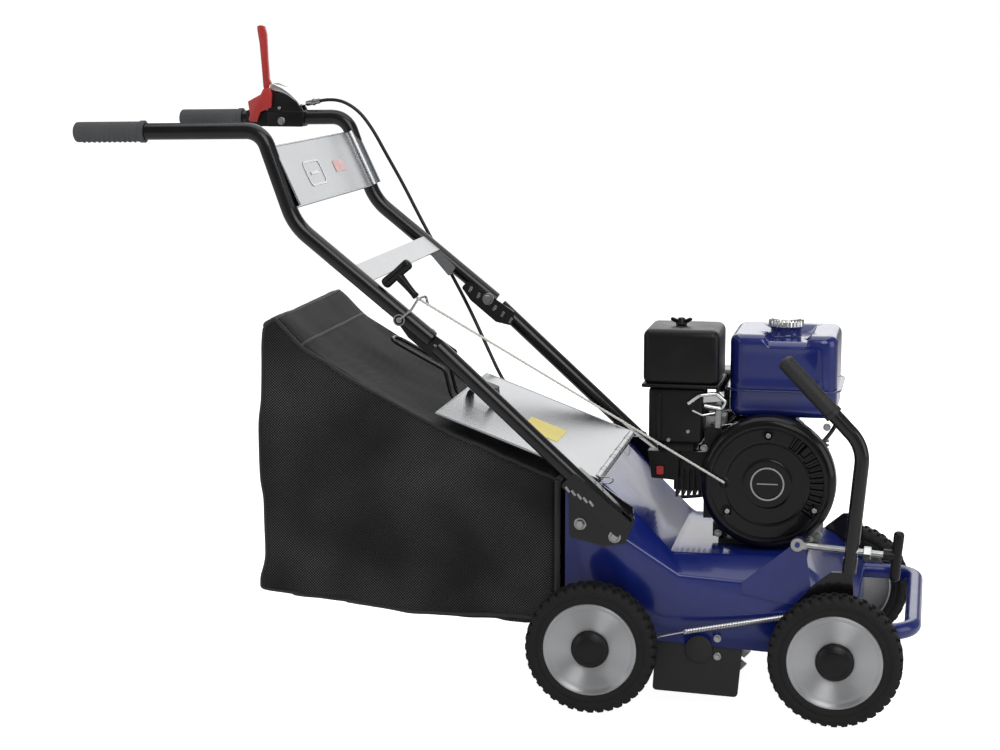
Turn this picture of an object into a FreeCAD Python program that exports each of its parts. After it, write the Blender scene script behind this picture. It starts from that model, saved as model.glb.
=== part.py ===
import FreeCAD, Part
import math
import os
import Sketcher
from FreeCAD import Placement, Rotation, Vector

# Walk-behind lawn dethatcher, in millimetres.
# +X is forward, +Y is the machine's left side and +Z is up. The origin is on the ground, below the middle
# of the machine. Every piece is drawn with X = 0 at the rear axle, Y = 0 at the mid-plane and Z = 0 at the
# ground; its Placement then moves it ahead by rear_axle_x.

SIZES = {
    # overall
    "rear_axle_x": 156.5, "wheelbase": 367, "axle_height": 100,
    # wheels
    "wheel_radius": 100, "tyre_width": 44, "wheel_inner_y": 215, "rim_radius": 72, "cap_radius": 29,
    "axle_radius": 8, "fit_gap": 0.05, "gap": 0.4,
    # deck
    "deck_half": 200, "deck_top_half": 150, "sheet": 3, "deck_rear": -47, "deck_front": 395,
    "deck_floor": 82, "deck_top": 342, "deck_edge": 338, "platform": 232,
    # rotor and its belt drive
    "rotor_x": 160, "rotor_z": 95, "rotor_shaft": 12.5, "blade_radius": 78, "blade_sheet": 3,
    "blade_count": 15, "blade_pitch": 23, "rotor_pulley_radius": 50, "engine_pulley_radius": 38,
    "belt_y": 221, "belt_width": 11, "belt_depth": 7, "guard_low_y": 211, "guard_high_y": 246,
    # engine
    "crank_x": 253, "crank_z": 338, "crank_radius": 12.5, "recoil_radius": 104,
    "tank_rear": 188, "tank_front": 353, "tank_right": -80, "tank_left": 90, "tank_low": 434,
    "tank_high": 562, "tank_wall": 2,
    # front wheel crank and depth control
    "pivot_x": 384, "pivot_z": 136, "pivot_radius": 7, "cheek_y": 203, "cheek_sheet": 3.5,
    "control_y": 206, "lever_radius": 11, "screw_x": 306, "screw_z": 266, "screw_radius": 5,
    "screw_slope": -4.45,
    # handle
    "handle_half": 245, "tube_radius": 12.7, "tube_wall": 1.5, "hinge_x": -252, "hinge_z": 570,
    "grip_end": -804, "grip_length": 115, "grip_radius": 17, "grip_z": 871,
    # flap and bag
    "flap_x": 0, "flap_z": 350, "flap_half": 199, "flap_pin": 3.5, "flap_eye": 6,
    "bag_half": 200, "bag_wall": 4,
    # bumper
    "bumper_front": 491, "bumper_half": 192, "bumper_z": 134, "bumper_bend": 52,
}

doc = FreeCAD.newDocument("LawnDethatcher")
sheet = doc.addObject("Spreadsheet::Sheet", "Sizes")
for row, (alias, number) in enumerate(SIZES.items(), 1):
    sheet.set(f"A{row}", alias)
    sheet.set(f"B{row}", str(number))
    sheet.setAlias(f"B{row}", alias)
doc.recompute()


class Size:
    """A number that remembers the sheet expression that it comes from."""

    def __init__(self, value, text):
        self.value = float(value)
        self.text = text

    def __add__(self, other):
        other = as_size(other)
        return Size(self.value + other.value, f"({self.text} + {other.text})")

    def __sub__(self, other):
        other = as_size(other)
        return Size(self.value - other.value, f"({self.text} - {other.text})")

    def __mul__(self, factor):
        factor = as_size(factor)
        return Size(self.value * factor.value, f"({self.text} * {factor.text})")

    def __truediv__(self, factor):
        factor = as_size(factor)
        return Size(self.value / factor.value, f"({self.text} / {factor.text})")

    def __neg__(self):
        return self * -1

    def __radd__(self, other):
        return as_size(other) + self

    def __rsub__(self, other):
        return as_size(other) - self

    def __rmul__(self, factor):
        return self * factor


def as_size(number):
    return number if isinstance(number, Size) else Size(number, f"({number:.6f})")


class Sheet:
    """Gives each cell of the sheet as a Size."""

    def __getattr__(self, alias):
        return Size(sheet.get(alias), f"Sizes.{alias}")


S = Sheet()
SUB_PARTS = []
RIGHT, LEFT = -1, 1
SIDES = {"right": RIGHT, "left": LEFT}


def number(size):
    return as_size(size).value


def vector(point):
    return Vector(*(number(value) for value in point))


def bind(thing, prop, size):
    thing.setExpression(prop, as_size(size).text)


def place(thing, point, direction=(0, 0, 1)):
    """Puts a primitive's own origin at a point, with its own Z along a direction."""
    thing.Placement = Placement(vector(point), Rotation(Vector(0, 0, 1), Vector(*direction)))
    for letter, size in zip("xyz", point):
        bind(thing, f"Placement.Base.{letter}", size)
    return thing


def sub_part(label, thing, shift=(0, 0, 0)):
    """Names a finished sub-part and moves it from the rear axle's frame to the machine's."""
    thing.Label = label
    bind(thing, "Placement.Base.x", S.rear_axle_x + shift[0])
    bind(thing, "Placement.Base.y", shift[1])
    bind(thing, "Placement.Base.z", shift[2])
    SUB_PARTS.append(thing)
    return thing


# ---- primitives ----

def rod(start, direction, length, radius):
    """A cylinder from a start point along a direction."""
    thing = doc.addObject("Part::Cylinder", "rod")
    bind(thing, "Radius", radius)
    bind(thing, "Height", length)
    return place(thing, start, direction)


def cross_rod(x, z, low_y, high_y, radius):
    return rod((x, low_y, z), (0, 1, 0), as_size(high_y) - low_y, radius)


def strut(start, end, radius):
    """A cylinder between two points."""
    run = vector(end) - vector(start)
    return rod(start, tuple(run), run.Length, radius)


def box(low, high):
    thing = doc.addObject("Part::Box", "box")
    for prop, small, large in zip(("Length", "Width", "Height"), low, high):
        bind(thing, prop, as_size(large) - small)
    return place(thing, low)


def fuse(*things):
    thing = doc.addObject("Part::MultiFuse", "fuse")
    thing.Shapes = list(things)
    return thing


def cut(base, *tools):
    thing = doc.addObject("Part::Cut", "cut")
    thing.Base = base
    thing.Tool = tools[0] if len(tools) == 1 else fuse(*tools)
    return thing


def group(*things):
    thing = doc.addObject("Part::Compound", "group")
    thing.Links = list(things)
    return thing


def mirrored(thing):
    """The same piece on the machine's other side."""
    other = doc.addObject("Part::Mirroring", "mirrored")
    other.Source = thing
    other.Normal = Vector(0, 1, 0)
    return other


def both_sides(thing):
    return group(thing, mirrored(thing))


def softened(thing, radius, choose=lambda edge: True):
    """Rounds the chosen edges of a primitive."""
    doc.recompute()
    rounded = doc.addObject("Part::Fillet", "softened")
    rounded.Base = thing
    chosen = [index for index, edge in enumerate(thing.Shape.Edges, 1) if choose(edge)]
    rounded.Edges = [(index, radius, radius) for index in chosen]
    return rounded


# ---- sketched bodies ----

def sketch(body, role, offset, points, circles=()):
    """A closed outline, with round holes, on a plane parallel to one of the body's own planes."""
    plane = [part for part in body.Origin.OriginFeatures if part.Role == role][0]
    drawing = body.newObject("Sketcher::SketchObject", "sketch")
    drawing.AttachmentSupport = [(plane, "")]
    drawing.MapMode = "FlatFace"
    bind(drawing, "AttachmentOffset.Base.z", offset)
    corners = [Vector(number(first), number(second), 0) for first, second in points]
    for index, corner in enumerate(corners):
        drawing.addGeometry(Part.LineSegment(corner, corners[(index + 1) % len(corners)]))
    for index in range(len(corners)):
        drawing.addConstraint(Sketcher.Constraint("Coincident", index, 2, (index + 1) % len(corners), 1))
    for index, point in enumerate(points):
        pin(drawing, index, 1, point)
    for first, second, radius in circles:
        centre = Vector(number(first), number(second), 0)
        index = drawing.addGeometry(Part.Circle(centre, Vector(0, 0, 1), number(radius)))
        constraint = drawing.addConstraint(Sketcher.Constraint("Radius", index, number(radius)))
        bind(drawing, f"Constraints[{constraint}]", radius)
        pin(drawing, index, 3, (first, second))
    return drawing


def pin(drawing, index, end, point):
    """Holds one point of a sketch at its place."""
    for kind, size in zip(("DistanceX", "DistanceY"), point):
        constraint = drawing.addConstraint(Sketcher.Constraint(kind, -1, 1, index, end, number(size)))
        bind(drawing, f"Constraints[{constraint}]", size)


def plate(points, low_y, high_y, circles=(), soft=0):
    """A flat piece drawn in side view, from low_y to high_y, with its corners rounded by soft."""
    body = doc.addObject("PartDesign::Body", "plate")
    pad = body.newObject("PartDesign::Pad", "pad")
    pad.Profile = sketch(body, "XZ_Plane", -as_size(high_y), points, circles)
    bind(pad, "Length", as_size(high_y) - low_y)
    if soft:
        doc.recompute()
        names = [f"Edge{index}" for index, edge in enumerate(pad.Shape.Edges, 1)
                 if edge.Curve.TypeId == "Part::GeomLine" and abs(edge.tangentAt(0).y) > 0.99]
        fillet = body.newObject("PartDesign::Fillet", "fillet")
        fillet.Base = (pad, names)
        bind(fillet, "Radius", soft)
    return body


def turned(profile, upright=False):
    """A round piece: pairs of radius and height turned about Y, or about Z if it is upright."""
    body = doc.addObject("PartDesign::Body", "turned")
    drawing = sketch(body, "XZ_Plane" if upright else "XY_Plane", 0, profile)
    revolution = body.newObject("PartDesign::Revolution", "revolution")
    revolution.Profile = drawing
    revolution.ReferenceAxis = (drawing, ["V_Axis"])
    revolution.Angle = 360
    return body


def link(thing, point, tilt=0):
    """One more copy of a piece, turned about Y by tilt degrees."""
    copy = doc.addObject("App::Link", "copy")
    copy.LinkedObject = thing
    copy.Placement = Placement(vector(point), Rotation(Vector(0, 1, 0), tilt))
    return copy


# ---- bent tubes, wires and cords ----

def bent_line(points, bends):
    """Straight runs joined by tangent arcs, one bend radius for each inner point."""
    corners = [vector(point) for point in points]
    edges = []
    here = corners[0]
    for corner, after, bend in zip(corners[1:-1], corners[2:], bends):
        back = (here - corner).normalize()
        ahead = (after - corner).normalize()
        turn = math.pi - back.getAngle(ahead)
        setback = number(bend) * math.tan(turn / 2)
        start, end = corner + back * setback, corner + ahead * setback
        centre = corner + (back + ahead).normalize() * (number(bend) / math.cos(turn / 2))
        middle = centre + (corner - centre).normalize() * number(bend)
        edges.append(Part.LineSegment(here, start).toShape())
        edges.append(Part.Arc(start, middle, end).toShape())
        here = end
    edges.append(Part.LineSegment(here, corners[-1]).toShape())
    return Part.Wire(edges)


def cord_bends(points):
    """The largest arcs that a cord's runs allow: 0.45 of the shorter run over the tangent of half the turn."""
    corners = [vector(point) for point in points]
    bends = []
    for before, corner, after in zip(corners, corners[1:], corners[2:]):
        turn = (corner - before).getAngle(after - corner)
        bends.append(0.45 * min((corner - before).Length, (after - corner).Length) / math.tan(turn / 2))
    return bends


def along(wire, radius):
    """A round section swept along a line."""
    spine = doc.addObject("Part::Feature", "line")
    spine.Shape = wire
    section = doc.addObject("Part::Circle", "section")
    bind(section, "Radius", radius)
    first = wire.Edges[0]
    section.Placement = Placement(first.valueAt(first.FirstParameter),
                                  Rotation(Vector(0, 0, 1), first.tangentAt(first.FirstParameter)))
    thing = doc.addObject("Part::Sweep", "sweep")
    thing.Sections = [section]
    thing.Spine = (spine, [f"Edge{index}" for index in range(1, len(wire.Edges) + 1)])
    thing.Solid = True
    return thing


def bar(points, bends, radius):
    return along(bent_line(points, bends), radius)


def bent_tube(points, bends, radius, wall):
    wire = bent_line(points, bends)
    return cut(along(wire, radius), along(wire, as_size(radius) - wall))


def cord(label, points, radius):
    """A cord along its route; prints its bend radii, and its volume over section times length."""
    bends = cord_bends(points)
    wire = bent_line(points, bends)
    thing = along(wire, radius)
    doc.recompute()
    ratio = thing.Shape.Volume / (math.pi * number(radius) ** 2 * wire.Length)
    print(label, "length", round(wire.Length, 1), "radii", [round(bend) for bend in bends],
          "volume ratio", round(ratio, 4))
    return sub_part(label, thing)


# ---- deck ----

def deck_outline(edge, crown, shoulder, brow):
    """The deck in side view; only its upper edge differs between the sides and the middle."""
    return [(S.deck_rear, S.deck_floor), (60, S.deck_floor), (88, 105), (276, 95), (S.deck_front, 95),
            (S.deck_front, 150), (brow[0], brow[1]), (300, shoulder), (crown[0], crown[1]),
            (edge[0], edge[1]), (0, edge[2]), (S.deck_rear, edge[2])]


def inner_outline(outer):
    """The inside of the deck, one sheet in from it and open below and behind."""
    behind, below = S.deck_rear - 20, S.deck_floor - 20
    bottom = [(behind, below), (60, below), (88, below), (276, below), (S.deck_front - S.sheet, below)]
    front = [(S.deck_front - S.sheet, 150 - S.sheet)]
    top = [(x - 1, z - S.sheet) for x, z in outer[6:11]]
    return bottom + front + top + [(behind, outer[11][1] - S.sheet)]


def deck_housing():
    side = deck_outline((37, 267, S.deck_edge), (130, 209), 198.5, (341, 196))
    middle = deck_outline((60, 285, S.deck_top), (112, S.platform), S.platform, (336, 206))
    body = doc.addObject("PartDesign::Body", "deck")
    for kind, low, high, half, top_half in (
            ("AdditiveLoft", side, middle, S.deck_half, S.deck_top_half),
            ("SubtractiveLoft", inner_outline(side), inner_outline(middle),
             S.deck_half - S.sheet, S.deck_top_half - S.sheet)):
        places = ((half, low), (top_half, high), (-top_half, high), (-half, low))
        sections = [sketch(body, "XZ_Plane", offset, outline) for offset, outline in places]
        loft = body.newObject("PartDesign::" + kind, "loft")
        loft.Profile = sections[0]
        loft.Sections = sections[1:]
        loft.Ruled = True
    holes = [cross_rod(0, S.axle_height, -220, 220, S.axle_radius + S.fit_gap),
             cross_rod(S.rotor_x, S.rotor_z, -220, 220, 20.4),
             cross_rod(S.pivot_x, S.pivot_z, -220, 220, S.pivot_radius + S.fit_gap)]
    for x in (192, 314):
        for y in (-66, 66):
            holes.append(rod((x, y, S.platform - 10), (0, 0, 1), 20, 4.2))
    sub_part("deck_housing", cut(body, *holes))


def side_skirts():
    outline = [(96, 150), (89, 26), (219, 21), (230, 150)]
    skirt = plate(outline, -S.deck_half + S.sheet, -S.deck_half + S.sheet + 5,
                  [(S.rotor_x, S.rotor_z, 21)], 6)
    sub_part("side_skirts", both_sides(skirt))


def bearing_plates():
    """Hangers inside the deck sides, each with a flanged bearing for the rotor shaft."""
    low, high = -S.deck_half + S.sheet + 5, -S.deck_half + S.sheet + 10
    hanger = plate([(112, 170), (112, 66), (208, 66), (208, 170)], low, high,
                   [(S.rotor_x, S.rotor_z, 20)], 10)
    bearing = cut(cross_rod(S.rotor_x, S.rotor_z, low - 7, high + 3, 20),
                  cross_rod(S.rotor_x, S.rotor_z, low - 8, high + 4, S.rotor_shaft + S.fit_gap))
    sub_part("rotor_bearings", group(hanger, bearing, mirrored(hanger), mirrored(bearing)))


def front_bumper():
    x_end, x_front = S.deck_front, S.bumper_front - S.tube_radius
    points = [(x_end, -S.bumper_half, S.bumper_z), (x_front, -S.bumper_half, S.bumper_z),
              (x_front, S.bumper_half, S.bumper_z), (x_end, S.bumper_half, S.bumper_z)]
    bends = [S.bumper_bend, S.bumper_bend]
    sub_part("front_bumper", bent_tube(points, bends, S.tube_radius, S.tube_wall))


def bolt(x, z, y_face, side, radius=7, height=5, washer=9.5):
    """A hexagon-size bolt head on its washer, standing out of a face on one side of the machine."""
    start = y_face * side
    head = rod((x, start, z), (0, side, 0), height + 1.5, radius)
    return fuse(rod((x, start, z), (0, side, 0), 1.5, washer), head)


def deck_hardware():
    """The bolts that hold the brackets, skirts and engine, and the hairpin clips of the flap's hinge rod."""
    bolts = []
    for side in SIDES.values():
        bolts += [bolt(-23, 283, S.deck_half + 5, side), bolt(30, 265, S.deck_half + 5, side)]
        bolts += [bolt(188, 113, S.deck_half, side, 4, 3, 6), bolt(188, 84, S.deck_half - 3, side, 4, 3, 6)]
    for x in (192, 314):
        for y in (-66, 66):
            head = rod((x, y, S.platform + 8), (0, 0, 1), 6, 7)
            shank = rod((x, y, S.platform - 8), (0, 0, 1), 17, 4)
            bolts.append(fuse(head, shank))
    for side in SIDES.values():
        y = 195 * side
        clip = [(4, y, 355), (20, y, 355), (29, y, 350.5), (20, y, 345.2), (4, y, 345.2)]
        bolts.append(bar(clip, [3, 3, 3], 0.9))
    sub_part("deck_hardware", group(*bolts))


def deck_brackets():
    """Plates on the deck sides that clamp the lower handle tubes."""
    outline = [(-42, 346), (8, 346), (57, 311), (60, 291), (46, 255), (12, 250), (-40, 262)]
    base = plate(outline, -S.deck_half - 5, -S.deck_half, (), 4)
    low, high = -S.handle_half - 14, -S.deck_half - 5
    clamp_outline = [(-45, 352), (-24, 372), (62, 300), (42, 276)]
    clamp = plate(clamp_outline, low, high, (), 4)
    tube = strut(lower_tube_point(-80), lower_tube_point(470), S.tube_radius)
    holder = cut(fuse(base, clamp), tube)
    sub_part("deck_brackets", group(holder, mirrored(holder)))


def screw_bracket():
    """The three-cornered plate on the deck's right side, with the pin that holds the depth screw's eye."""
    face = -S.deck_half
    outline = [(224, 186), (224, 203), (296, 262), (298, 271), (303, 277), (311, 277), (316, 271), (327, 199),
               (318, 172), (296, 172)]
    pin_rod = cross_rod(S.screw_x, S.screw_z, face - 11.5, face - 2, 4)
    sub_part("screw_bracket", fuse(plate(outline, face - 2.5, face), pin_rod))


def lower_tube_point(distance, side=RIGHT):
    """A point of a lower handle tube, at a distance from its foot."""
    foot, top = Vector(40, 0, 305), Vector(-238, 0, 558)
    run = (top - foot).normalize() * distance
    return (foot.x + run.x, S.handle_half * side, foot.z + run.z)


def lower_handle_tubes():
    start, end = lower_tube_point(0), lower_tube_point(372)
    tube = cut(strut(start, end, S.tube_radius), strut(start, end, S.tube_radius - S.tube_wall))
    sub_part("lower_handle_tubes", both_sides(tube))


def rear_axle():
    sub_part("rear_axle", group(cross_rod(0, S.axle_height, -256, 256, S.axle_radius)))


# ---- rotor and belt drive ----

def rotor():
    shaft = cross_rod(S.rotor_x, S.rotor_z, -196, S.belt_y + 12, S.rotor_shaft)
    tips, points = 4, []
    for tip in range(tips):
        for turn, reach in ((-0.16, 0.97), (0.02, 1.0), (0.12, 0.62), (0.78, 0.34), (1.3, 0.62)):
            angle = 2 * math.pi * tip / tips + turn
            distance = S.blade_radius * reach
            points.append((distance * math.cos(angle), distance * math.sin(angle)))
    half = S.blade_sheet / 2
    blade = plate(points, -half, half, [(0, 0, S.rotor_shaft + S.fit_gap)])
    length = S.blade_pitch - S.blade_sheet
    spacer = turned([(S.rotor_shaft + S.fit_gap, half), (19, half), (19, half + length),
                     (S.rotor_shaft + S.fit_gap, half + length)])
    count = int(SIZES["blade_count"])
    first = -S.blade_pitch * (count - 1) / 2
    places = [(S.rotor_x, first + S.blade_pitch * index, S.rotor_z) for index in range(count)]
    blades = [link(blade, point, 30 * index) for index, point in enumerate(places)]
    spacers = [link(spacer, point) for point in places[:-1]]
    sub_part("rotor_blades", group(*blades))
    sub_part("rotor_shaft", group(shaft, *spacers))


def pulley_profile(radius, bore, low=0):
    """A V-belt pulley's section, its groove in the middle of its width."""
    half, floor = S.belt_width / 2, radius - S.belt_depth - 3
    return [(bore, low - half - 3), (radius, low - half - 3), (radius, low - half - 0.8),
            (floor, low - 2.5), (floor, low + 2.5), (radius, low + half + 0.8),
            (radius, low + half + 3), (bore, low + half + 3)]


def belt_drive():
    drives = (("rotor_pulley", S.rotor_x, S.rotor_z, S.rotor_pulley_radius, S.rotor_shaft),
              ("engine_pulley", S.crank_x, S.crank_z, S.engine_pulley_radius, S.crank_radius))
    for name, x, z, radius, bore in drives:
        sub_part(name, turned(pulley_profile(radius, bore + S.fit_gap)), (x, S.belt_y, z))
    inner = belt_line(-3.2)
    outer = belt_line(-3.2 + SIZES["belt_depth"])
    width = Vector(0, 6, 0)
    belt = doc.addObject("Part::Feature", "belt")
    belt.Shape = Part.Face(outer).extrude(width).cut(Part.Face(inner).extrude(width))
    sub_part("drive_belt", belt)


def belt_run(reach):
    """The pulleys' centres, their radii made larger by reach, and the angles of the belt's two straight runs."""
    centres = [Vector(number(S.rotor_x), 0, number(S.rotor_z)), Vector(number(S.crank_x), 0, number(S.crank_z))]
    radii = [number(S.rotor_pulley_radius) + reach, number(S.engine_pulley_radius) + reach]
    apart = centres[1] - centres[0]
    heading = math.atan2(apart.z, apart.x)
    lean = math.acos((radii[0] - radii[1]) / apart.Length)

    def rim(index, angle):
        return centres[index] + Vector(math.cos(angle), 0, math.sin(angle)) * radii[index]

    return rim, heading, heading - lean, heading + lean


def belt_line(reach):
    """The belt's line round both pulleys, reach outside their radii, at the near face of the belt."""
    rim, heading, front, rear = belt_run(reach)
    line = Part.Wire([
        Part.LineSegment(rim(0, front), rim(1, front)).toShape(),
        Part.Arc(rim(1, front), rim(1, heading), rim(1, rear)).toShape(),
        Part.LineSegment(rim(1, rear), rim(0, rear)).toShape(),
        Part.Arc(rim(0, rear), rim(0, heading + math.pi), rim(0, front)).toShape()])
    line.translate(Vector(0, number(S.belt_y) - 3, 0))
    return line


def belt_guard():
    low_y, high_y = S.guard_low_y, S.guard_high_y

    def hull(reach, near, far):
        rim, heading, front, rear = belt_run(reach)
        corners = [rim(0, rear), rim(0, front), rim(1, front), rim(1, rear)]
        return fuse(cross_rod(S.rotor_x, S.rotor_z, near, far, S.rotor_pulley_radius + reach),
                    cross_rod(S.crank_x, S.crank_z, near, far, S.engine_pulley_radius + reach),
                    plate([(corner.x, corner.z) for corner in corners], near, far))

    sub_part("belt_guard", cut(hull(8, low_y, high_y), hull(6, low_y - 1, high_y - 2)))


def idler():
    """The clutch's belt tensioner: an arm on the deck side and its pulley, inside the belt's rear run."""
    pivot, wheel = (208, 160), (193, 222)
    arm = plate([(200, 148), (217, 152), (218, 168), (204, 222), (196, 256), (179, 256), (179, 244),
                 (184, 220), (198, 164)], 201.5, 205.2, (), 3)
    post = cross_rod(*pivot, 200.5, 208, 7)
    stub = cross_rod(*wheel, 205, 228, 5)
    sub_part("idler_arm", cut(fuse(arm, post, stub), cross_rod(*pivot, 190, 230, 3.05)))
    sub_part("idler_pulley", turned(pulley_profile(as_size(18), 5 + S.fit_gap)), (wheel[0], S.belt_y, wheel[1]))


# ---- engine ----

def engine_block():
    """The crankcase and its finned cylinder, one casting on a foot."""
    low, high = -57, 57
    foot = box((175, -75, S.platform), (330, 80, S.platform + 8))
    holes = [rod((x, y, S.platform - 1), (0, 0, 1), 12, 4.2) for x in (192, 314) for y in (-66, 66)]
    block = plate([(196, 240), (312, 240), (324, 300), (316, 384), (290, 404), (215, 404), (190, 372),
                   (184, 300)], low, high, (), 10)
    bore = cross_rod(S.crank_x, S.crank_z, low - 1, high + 1, S.crank_radius + S.fit_gap)
    cavity = plate([(204, 250), (304, 250), (314, 302), (306, 378), (286, 394), (220, 394), (200, 368),
                    (194, 302)], low + 10, high - 10)
    plug = rod((175, -57, 250), (0, -1, 0), 14, 8)
    boss = box((165, -62, 240), (184, -50, 262))
    posts = [box((x, -40, 396), (x + 14, 50, S.tank_low)) for x in (222, 276)]
    barrel = box((96, -6, 300), (192, 66, 366))
    fins = [box((100 + 9 * index, -14, 290), (103.5 + 9 * index, 74, 376)) for index in range(9)]
    sub_part("engine_block", cut(fuse(foot, block, plug, boss, barrel, *posts, *fins), cavity, bore, *holes))


def engine_shafts():
    shaft = cross_rod(S.crank_x, S.crank_z, -84, S.belt_y + 12, S.crank_radius)
    bore = S.crank_radius + S.fit_gap
    wheel = turned([(bore, -82), (30, -82), (30, -76), (88, -72), (88, -62), (30, -62), (bore, -62)])
    flywheel = link(wheel, (S.crank_x, 0, S.crank_z))
    sub_part("crankshaft", group(shaft, flywheel))


def recoil_housing():
    edge = S.recoil_radius
    profile = [(0, -120), (34, -120), (38, -118), (92, -117), (98, -115), (edge, -108), (edge, -86),
               (edge - 2.5, -86), (edge - 2.5, -107), (96, -112.5), (38, -114.5), (0, -114.5)]
    sub_part("recoil_housing", turned(profile), (S.crank_x, 0, S.crank_z))


def fan_shroud():
    x, z = S.crank_x, S.crank_z
    outer = fuse(cross_rod(x, z, -85.9, -59, 95), box((152, -85.9, 274), (x, -59, 412)))
    inner = fuse(cross_rod(x, z, -82.9, -58, 92.5), box((154.5, -82.9, 276.5), (x, -58, 409.5)))
    eye = cross_rod(x, z, -90, -80, 60)
    block = box((180, -84, 236), (330, -57, 262))
    switch_box = cut(plate([(64, 377), (70, 334), (112, 331), (112, 377)], -84, -60),
                     box((77, -90, 338.5), (90, -66, 354.5)))
    arm = box((105, -66, 346), (153.5, -60, 374))
    sub_part("fan_shroud", fuse(cut(outer, inner, eye, block), switch_box, arm))


def fuel_tank():
    low = (S.tank_rear, S.tank_right, S.tank_low)
    high = (S.tank_front, S.tank_left, S.tank_high)
    wall = S.tank_wall

    def upright(edge):
        return abs(edge.tangentAt(edge.FirstParameter).z) > 0.99

    outer = softened(softened(box(low, high), 24, upright), 9)
    outer = cut(outer, box((243, S.tank_right - 1, S.tank_high - 10), (310, 58, S.tank_high + 1)))
    room = box(tuple(value + wall for value in low), tuple(value - wall for value in high))
    inner = softened(softened(room, 22, upright), 7)
    inner = cut(inner, box((241, S.tank_right - 1, S.tank_high - 12), (312, 60, S.tank_high + 1)))
    seam = softened(box((S.tank_rear - 7, S.tank_right - 7, 475.5), (S.tank_front + 9, S.tank_left + 7, 478)),
                    28, upright)
    neck = rod((269, 5, S.tank_high - 11.5), (0, 0, 1), 15.5, 24)
    mouth = rod((269, 5, S.tank_high - 16), (0, 0, 1), 30, 21.5)
    sub_part("fuel_tank", cut(fuse(outer, seam, neck), inner, mouth))


def fuel_cap():
    profile = [(0, 0), (27.5, 0), (27.5, 10), (25, 13), (14, 14), (0, 14)]
    sub_part("fuel_cap", turned(profile, True), (269, 5, S.tank_high + 4 + S.gap))


def air_cleaner():
    """A tall housing behind the carburettor, its cover held on by a wing nut."""
    def upright(edge):
        return abs(edge.tangentAt(edge.FirstParameter).z) > 0.99

    base = softened(box((66, -100, 392), (150, -16, 480)), 10, upright)
    foot = box((80, -88, 378), (136, -28, 393))
    sub_part("air_cleaner_base", fuse(base, foot))
    cover = softened(softened(box((56, -110, 480.5), (176, 14, 571)), 12, upright), 6)
    hollow = box((60, -106, 470), (172, 10, 567))
    sub_part("air_cleaner_cover", cut(cover, hollow))
    stem = rod((110, -48, 571.4), (0, 0, 1), 8, 9)
    wings = softened(box((93, -53, 574.5), (127, -43, 583)), 2)
    sub_part("air_cleaner_knob", fuse(stem, wings))


def carburettor():
    bowl = rod((158, -38, 348), (0, 0, 1), 24, 15)
    body = box((151, -57, 370), (181.5, -20, 430))
    manifold = rod((150, -38, 444), (1, 0, 0), 22, 13)
    neck = rod((164, -38, 428), (0, 0, 1), 16, 10)
    sub_part("carburettor", fuse(bowl, body, manifold, neck))
    spindle = rod((172, -57.4, 421), (0, -1, 0), 22, 3)
    arm = plate([(168, 416), (176, 416), (178, 456), (170, 456)], -82.4, -79.4, (), 2)
    sub_part("throttle_lever", fuse(spindle, arm))


def muffler():
    can = softened(box((150, 98, 380), (212, 170, 478)), 12)
    pipe = bar([(172, 74.2, 350), (172, 126, 350), (172, 126, 390)], [20], 11)
    sub_part("muffler", fuse(can, pipe))


def kill_switch():
    rocker = plate([(78, 346.5), (78, 340), (89, 340), (89, 346.5), (89, 353), (78, 353)], -86.5, -74)
    pivot = rod((83.5, -80, 338.9), (0, 0, 1), 15.2, 2)
    sub_part("kill_switch", fuse(rocker, pivot))


# ---- front wheel crank and depth control ----

def front_crank():
    """The cross shaft, its two cheeks and the stub axles that carry the front wheels."""
    outline = [(302, 172), (329, 203), (357, 226), (388, 227), (391, 186), (394, 136), (391, 118),
               (380, 90), (358, 88), (354, 104), (350, 140), (318, 152), (302, 152)]
    inner, outer = S.cheek_y, S.cheek_y + S.cheek_sheet
    cheek = plate(outline, -outer, -inner, [(308, 162, 2.6)])
    stub = cross_rod(S.wheelbase, S.axle_height, -256, -inner - 1, S.axle_radius)
    shaft = cross_rod(S.pivot_x, S.pivot_z, -outer, outer, S.pivot_radius)
    far = [mirrored(cheek), mirrored(stub)]
    sub_part("front_wheel_crank", fuse(cheek, stub, shaft, *far))


def depth_lever():
    points = [(383, -S.control_y, 227), (400, -S.control_y, 418), (283, -S.control_y, 541)]
    tube = bent_tube(points, [60], S.lever_radius, S.tube_wall)
    slot = box((370, -S.control_y - 5.6, 249), (412, -S.control_y + 5.6, 270))
    sub_part("depth_lever", cut(tube, slot))
    end, toward = vector(points[2]), (vector(points[1]) - vector(points[2])).normalize()
    grip_start = end - toward * 6
    sleeve = rod(tuple(grip_start), tuple(toward), 112, 14)
    bore = rod(tuple(end), tuple(toward), 130, S.lever_radius + S.fit_gap)
    sub_part("lever_grip", cut(sleeve, bore))


def screw_point(distance, across=0):
    """A point on the adjusting screw, at a distance ahead of its pin and across above its line."""
    slope = math.radians(SIZES["screw_slope"])
    x = SIZES["screw_x"] + distance * math.cos(slope) - across * math.sin(slope)
    z = SIZES["screw_z"] + distance * math.sin(slope) + across * math.cos(slope)
    return (x, -S.control_y, z)


def screw_direction():
    slope = math.radians(SIZES["screw_slope"])
    return (math.cos(slope), 0, math.sin(slope))


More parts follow.
